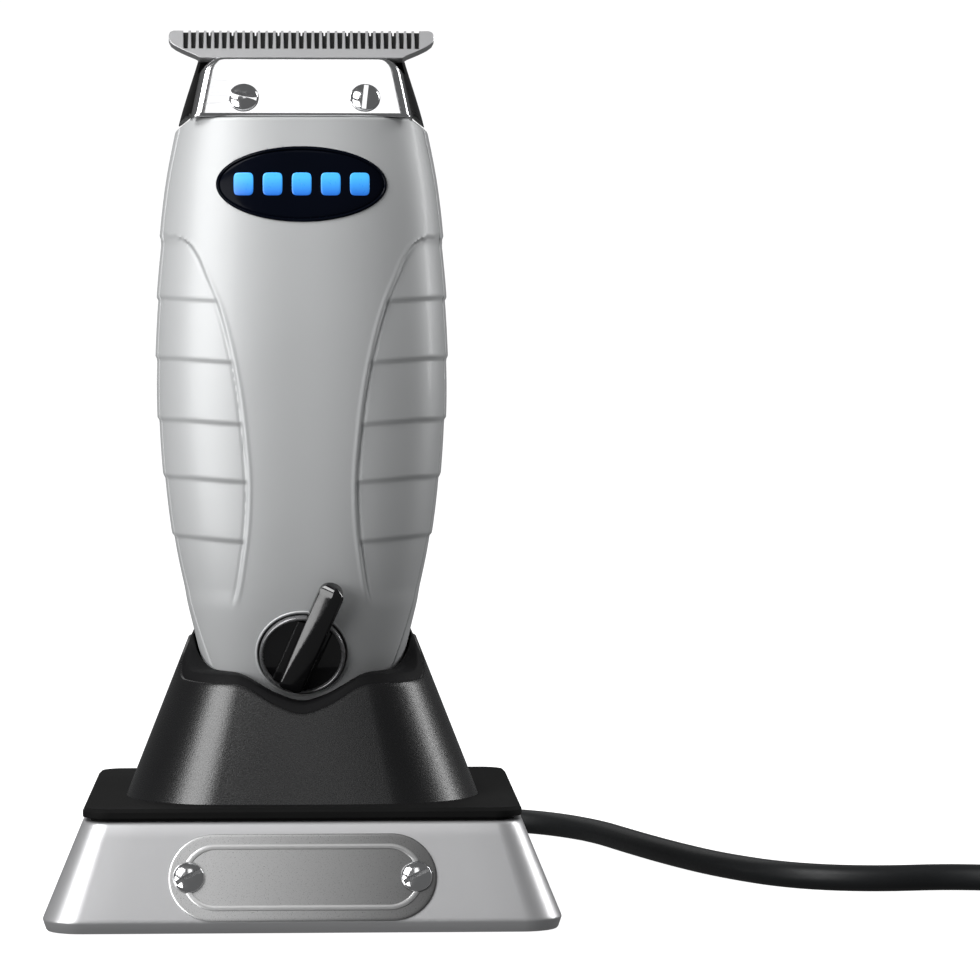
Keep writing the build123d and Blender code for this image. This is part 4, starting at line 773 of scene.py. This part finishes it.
def add_blade_plate():
    """The polished plate below the teeth, its sides rolled down."""
    rows, columns = 26, 60
    points = []
    for row in range(rows):
        v = PLATE_TOP + (PLATE_FOOT - PLATE_TOP) * (row / (rows - 1)) ** 1.5
        share = (v - PLATE_TOP) / (PLATE_FOOT - PLATE_TOP)
        half = PLATE_HALF_WIDTH + PLATE_SPREAD * share
        corner = max(0.0, 1 - (PLATE_TOP - v) / PLATE_CORNER)
        half -= PLATE_CORNER * (1 - math.sqrt(1 - corner**2))
        edge = max(0.0, 1 - (PLATE_TOP - v) / 0.35)
        lift = 0.4 * math.sqrt(max(0.0, 1 - edge**2)) - 0.05
        for column in range(columns):
            x = half * (-1 + 2 * column / (columns - 1))
            roll = max(0.0, (abs(x) - (half - PLATE_ROLL)) / PLATE_ROLL)
            down = PLATE_TURN_DOWN * (1 - math.sqrt(max(0.0, 1 - roll**2)))
            points.append(face_blade.at(x, v, lift - down))
    new_piece("blade_plate", points, grid_faces(rows, columns), "clipper", "blade_chrome", (),
              sharp=50, wall=0.3)


def add_cutter():
    """The moving cutter close behind the fixed blade: a notched edge and a narrower body."""
    side = [(CUTTER_HALF_WIDTH, 0.0), (CUTTER_HALF_WIDTH, -1.8), (17.0, -3.1)]
    outline = [(-x, v) for x, v in side[::-1]]
    for k in range(NOTCH_COUNT):
        middle = (k - NOTCH_COUNT // 2) * NOTCH_PITCH
        outline += [(middle - 0.14, 0.05), (middle - 0.1, -0.5), (middle + 0.1, -0.5),
                    (middle + 0.14, 0.05)]
    outline += side + [(CUTTER_BODY, -4.4), (CUTTER_BODY, -7.6),
                       (-CUTTER_BODY, -7.6), (-CUTTER_BODY, -4.4)]
    front = -BLADE_THICKNESS - 0.04
    points = [face_blade.at(x, v, front + 0.5 * float(smooth(1 + v / 2.6)) - depth)
              for depth in (0.0, CUTTER_THICKNESS) for x, v in outline]
    # painted shade: the cutter is coloured almost black so the gaps between the teeth in front of it
    # read dark
    new_piece("cutter_blade", points, prism_faces(len(outline)), "cutter", "painted_shade_steel",
              ("cutter_blade",), bevel=0.04)


def slotted_head(face, x, v, n, radius, height, angle):
    """A domed screw head cut by a slot: each half of the dome, and the slot's floor and walls."""
    turn = math.radians(angle)
    slot, floor = 0.15 * radius, 0.4 * height

    def dome(q, s):
        return height * math.sqrt(max(0.0, 1 - 0.97 * (q * q + s * s) / radius**2))

    def spot(q, s, up):
        return face.at(x + s * math.cos(turn) - q * math.sin(turn),
                       v + s * math.sin(turn) + q * math.cos(turn), n + up)

    columns, points, faces = 32, [], []
    for side in (-1, 1):
        start = len(points)
        across = [slot, slot]
        across += [slot + (radius - slot) * math.sin(k * math.pi / 24) for k in range(1, 13)]
        for row, q in enumerate(across):
            reach = math.sqrt(max(1e-6, radius**2 - q * q))
            for column in range(columns):
                s = -reach * math.cos(math.pi * column / (columns - 1))
                up = dome(q, s)
                points.append(spot(side * q, s, min(floor, up) if row == 0 else up))
        faces += grid_faces(len(across), columns, start=start)
    start, reach = len(points), math.sqrt(radius**2 - slot**2)
    for q in (-slot, slot):
        for column in range(columns):
            s = -reach * math.cos(math.pi * column / (columns - 1))
            points.append(spot(q, s, min(floor, dome(q, s))))
    faces += grid_faces(2, columns, start=start)
    return points, faces


def add_screws(name, face, places, radius, height, n, body):
    """Domed slotted screws on one face, each as (x, v, slot angle)."""
    points, faces = [], []
    for x, v, angle in places:
        more, sides = slotted_head(face, x, v, n, radius, height, angle)
        faces += [tuple(len(points) + i for i in side) for side in sides]
        points += more
    new_piece(name, points, faces, body, "chrome", (name,), sharp=50)


# ---------------------------------------------------------------- the stand's cup
CUP_FOOT_Z, CUP_TOP_Z = 18.1, 44.0
CUP_FOOT, CUP_TOP = (54.0, 46.4, 0.0, 14.0), (33.6, 25.8, 3.3, 9.0)   # width, depth, y, corner
RIM_SIDE = [(-40, 37.2), (-9.5, 37.2), (-2.5, 40.8), (5, 42.6), (40, 42.6)]     # y, height
RIM_DIP = [(-4, 33.8), (0, 32.6), (4, 33.8), (7.6, 35.9), (10.5, 37.8), (16, 42.5)]   # x, height
CUP_AXIS_Y = 2.5
CUP_WALL = 0.7                                     # least wall left between the cup and the well
WELL_GAP = 0.4                                     # room between the clipper and the well
LIP = 1.5                                          # height of the plain lip above the satin wall
CUP_BOW = 2.0                                      # how much the front and back walls bulge


def rim_height(x, y):
    """How high the cup's rim stands: it climbs towards the back and dips under the switch."""
    side = interpolate(RIM_SIDE, y)[0]
    dip = interpolate(RIM_DIP, np.minimum(np.abs(x), 15.9))[0]
    dip = np.where(y < -4, dip, 60.0)
    blend = 0.35
    return -blend * np.log(np.exp(-(side - 37) / blend) + np.exp(-(dip - 37) / blend)) + 37


def ray(inside, turns):
    """How far out from the cup's axis each ray is still inside a form."""
    near, far = np.zeros_like(turns), np.full_like(turns, 60.0)
    for _ in range(40):
        middle = (near + far) / 2
        held = inside(middle * np.cos(turns), CUP_AXIS_Y + middle * np.sin(turns))
        near, far = np.where(held, middle, near), np.where(held, far, middle)
    return near


def cup_ring(turns, z, inset=0.0):
    """Points of the cup's outside for each ray, at one or many heights, or a little inside it."""
    share = (z - CUP_FOOT_Z) / (CUP_TOP_Z - CUP_FOOT_Z)
    width, depth, y0, corner = (a + (b - a) * share for a, b in zip(CUP_FOOT, CUP_TOP))

    def inside(x, y):
        over_x = np.maximum(np.abs(x) - width / 2 + corner, 0)
        bow = CUP_BOW * (1 - np.minimum(1, np.abs(2 * x / width)) ** 2)
        over_y = np.maximum(np.abs(y - y0) - depth / 2 + corner - bow, 0)
        return np.hypot(over_x, over_y) < corner

    reach = ray(inside, turns) - inset
    return np.stack([reach * np.cos(turns), CUP_AXIS_Y + reach * np.sin(turns), z + 0 * turns], -1)


def well_ring(turns, z, grow):
    """Points round the clipper's body, grown outwards but kept inside the cup, for each ray."""
    half_width, front, back = interpolate(BODY_STATIONS, z)

    def inside(x, y):
        across = np.abs(x) / (half_width + grow)
        along = np.abs(y - (front + back) / 2) / ((back - front) / 2 + grow)
        return across**BODY_SQUARENESS + along**BODY_SQUARENESS < 1

    cup = cup_ring(turns, np.maximum(z, CUP_FOOT_Z), CUP_WALL)
    reach = np.minimum(ray(inside, turns), np.hypot(cup[:, 0], cup[:, 1] - CUP_AXIS_Y))
    return np.stack([reach * np.cos(turns), CUP_AXIS_Y + reach * np.sin(turns), z + 0 * turns], -1)


def at_rim(ring_at, turns, below, *moved):
    """The ring of points where a wall, moved in or out if asked, meets the rim or lies below it."""
    z = np.full_like(turns, 37.0)
    for _ in range(60):
        ring = ring_at(turns, z, *moved)
        z = z + 0.5 * (rim_height(ring[:, 0], ring[:, 1]) - below - z)
    return ring_at(turns, z, *moved)


def add_rings(name, rings, slot):
    """A piece of the stand made of rings of points, one above or inside the other."""
    new_piece(name, np.concatenate(rings), grid_faces(len(rings), len(rings[0]), closed=True),
              "stand", slot, (name,), sharp=60)


def add_cup():
    """The black cup with its wavy lip, and the well inside it that holds the clipper."""
    turns = np.linspace(0, 2 * math.pi, 480, endpoint=False)
    shoulder = at_rim(cup_ring, turns, LIP)
    rings = []
    for share in np.concatenate([[0, 0.02], np.linspace(0.06, 1, 30)]):
        rings.append(cup_ring(turns, CUP_FOOT_Z + (shoulder[:, 2] - CUP_FOOT_Z) * share))
    for inset, drop in ((0.05, LIP - 0.1), (0.16, LIP - 0.15), (0.5, LIP - 0.1), (0.5, LIP + 1.5)):
        rings.append(at_rim(cup_ring, turns, drop, inset))
    add_rings("stand_cup", rings, "black_satin")

    rings = [at_rim(cup_ring, turns, drop, inset)
             for inset, drop in ((0.35, LIP + 0.6), (0.35, LIP - 0.1), (0.4, 0.25), (0.55, 0.06))]
    for grow, drop in ((1.6, 0.0), (1.1, -0.02), (0.65, 0.0), (0.45, 0.12), (WELL_GAP, 0.5)):
        rings.append(at_rim(well_ring, turns, drop, grow))
    mouth = rings[-1]
    for share in np.linspace(0.1, 1, 12):
        z = mouth[:, 2] + (WELL_FLOOR - mouth[:, 2]) * share
        rings.append(well_ring(turns, z, WELL_GAP))
    middle = np.array([0, CUP_AXIS_Y, WELL_FLOOR])
    floor_edge = well_ring(turns, np.full_like(turns, WELL_FLOOR), WELL_GAP)
    rings += [middle + (floor_edge - middle) * share for share in (0.9, 0.5, 0.01)]
    add_rings("stand_well", rings, "black_plain")


# ---------------------------------------------------------------- the base and its badge plate
BASE_RISE = BASE_TOP - BASE_WIDEST_Z
BASE_LEAN = math.atan((BASE_DEPTH - BASE_TOP_DEPTH) / 2 / BASE_RISE)
BASE_WALL = 1.2
BASE_OPENING = (52.0, 47.0)                        # the deck lies over it
LABEL_WIDTH, LABEL_HEIGHT = 39.8, 13.4
LINE_WIDTH, LINE_HEIGHT = LABEL_WIDTH - 4.8, LABEL_HEIGHT - 4.0
LINE_END = 2.2                                     # the lines stop here, clear of the screws
# a raised line's section, as (place across it, height)
LINE_ACROSS = [(-0.42, 0.28), (-0.38, 0.42), (-0.3, 0.46), (0.3, 0.46), (0.38, 0.42), (0.42, 0.28)]
face_label = Face(-BASE_DEPTH / 2 + (LABEL_Z - BASE_WIDEST_Z) * math.tan(BASE_LEAN), LABEL_Z,
                  -math.cos(BASE_LEAN), math.sin(BASE_LEAN))


def stadium(width, height, shrink=0.0, count=40):
    """The outline of a slot shape, made smaller all round if asked."""
    radius, straight = height / 2 - shrink, (width - height) / 2
    turns = np.linspace(-math.pi / 2, math.pi / 2, count)
    right = [(straight + radius * math.cos(t), radius * math.sin(t)) for t in turns]
    return right + [(-x, -v) for x, v in right]


def rounded_rectangle(width, depth, corner, arc_steps=14, side_steps=12):
    """The outline of a rectangle with rounded corners, its straight sides split up too."""
    arcs = []
    for quarter, (sx, sy) in enumerate(((1, 1), (-1, 1), (-1, -1), (1, -1))):
        turns = [math.pi / 2 * (quarter + k / arc_steps) for k in range(arc_steps + 1)]
        arcs.append([(sx * (width / 2 - corner) + corner * math.cos(turn),
                      sy * (depth / 2 - corner) + corner * math.sin(turn)) for turn in turns])
    spots = []
    for arc, following in zip(arcs, arcs[1:] + arcs[:1]):
        (x, y), (next_x, next_y) = arc[-1], following[0]
        spots += arc
        spots += [(x + (next_x - x) * k / side_steps, y + (next_y - y) * k / side_steps)
                  for k in range(1, side_steps)]
    return spots


def add_base():
    """The silver base: leaning walls, a bevel round the foot and softly rounded edges."""
    # height, width, depth and corner radius
    rows = [(0.2, 75.7, 71.3, 5.4), (0.22, 76.1, 71.7, 5.5), (0.45, 76.45, 72.05, 5.6),
            (1.7, 77.25, 72.85, 5.8), (1.9, 77.36, 72.96, 5.8), (2.1, 77.3, 72.9, 5.8),
            (2.4, 77.07, 72.66, 5.8)]
    wall_low, wall_high = 2.4, 15.6
    for k in range(1, 9):
        z = wall_low + (wall_high - wall_low) * k / 8
        grow = (BASE_TOP - z) / BASE_RISE
        rows.append((z, BASE_TOP_WIDTH + (BASE_WIDTH - BASE_TOP_WIDTH) * grow,
                     BASE_TOP_DEPTH + (BASE_DEPTH - BASE_TOP_DEPTH) * grow, 4.2 + 1.6 * grow))
    rows += [(15.9, BASE_TOP_WIDTH, BASE_TOP_DEPTH, 4.1),
             (16.05, BASE_TOP_WIDTH - 0.4, BASE_TOP_DEPTH - 0.4, 3.9),
             (BASE_TOP, BASE_TOP_WIDTH - 1.0, BASE_TOP_DEPTH - 1.0, 3.6),
             (BASE_TOP, *BASE_OPENING, 3.0)]
    points = [(x, y, z) for z, width, depth, corner in rows
              for x, y in rounded_rectangle(width, depth, corner)]
    faces = grid_faces(len(rows), len(points) // len(rows), closed=True)
    new_piece("stand_base_shell", points, faces, "stand", "base_metal", ("stand_base_shell",),
              wall=BASE_WALL)


def add_label():
    """A plain stadium plate with two raised lines that leave room for the screws."""
    profile = [(0, -0.5), (0, 0.2), (0.08, 0.28), (0.22, 0.3), (0.5, 0.3)]
    count, points = 80, []
    for shrink, n in profile:
        points += [face_label.at(x, v, n) for x, v in stadium(LABEL_WIDTH, LABEL_HEIGHT, shrink)]
    faces = grid_faces(len(profile), count, closed=True)
    faces.append(tuple(range(len(points) - count, len(points))))
    new_piece("stand_badge_plate", points, faces, "stand", "badge_metal", ("stand_badge_plate",))

    points, faces = [], []
    for side in (-1, 1):
        start = len(points)
        path = [(x, v) for x, v in stadium(LINE_WIDTH, LINE_HEIGHT, count=60)
                if side * v > LINE_END]
        path.sort(key=lambda spot: side * math.atan2(spot[1], spot[0]))
        for index, (x, v) in enumerate(path):
            ahead, behind = path[min(index + 1, len(path) - 1)], path[max(index - 1, 0)]
            step = Vector((ahead[0] - behind[0], ahead[1] - behind[1])).normalized()
            points += [face_label.at(x - step.y * q, v + step.x * q, n) for q, n in LINE_ACROSS]
        corners = len(LINE_ACROSS)
        faces += grid_faces(len(path), corners, start=start)
        last = len(points) - corners
        faces += [tuple(range(start, start + corners)), tuple(range(last, last + corners))]
    new_piece("badge_plate_lines", points, faces, "stand", "badge_line", ())


# ---------------------------------------------------------------- everything, in order
light_up(FINISHES["light_blue"], 0.85)
finish_cad_pieces()
add_camera()
add_world()
add_floor()
bpy.context.scene.view_settings.view_transform = "Standard"
for light in LIGHTS:
    add_light(*light)
add_cord()
add_housings()
add_base()
add_label()
add_badge()
add_knob()
add_bar()
add_lever()
add_fixed_blade()
add_blade_plate()
add_cutter()
add_screws("blade_screws", face_blade, [(-8.8, -11.9, -12), (9.7, -11.9, 84)],
           radius=2.3, height=1.1, n=0.3, body="clipper")
add_screws("stand_badge_screws", face_label, [(-16.9, 0, 28), (16.9, 0, 28)],
           radius=2.35, height=0.95, n=0.3, body="stand")
add_cup()
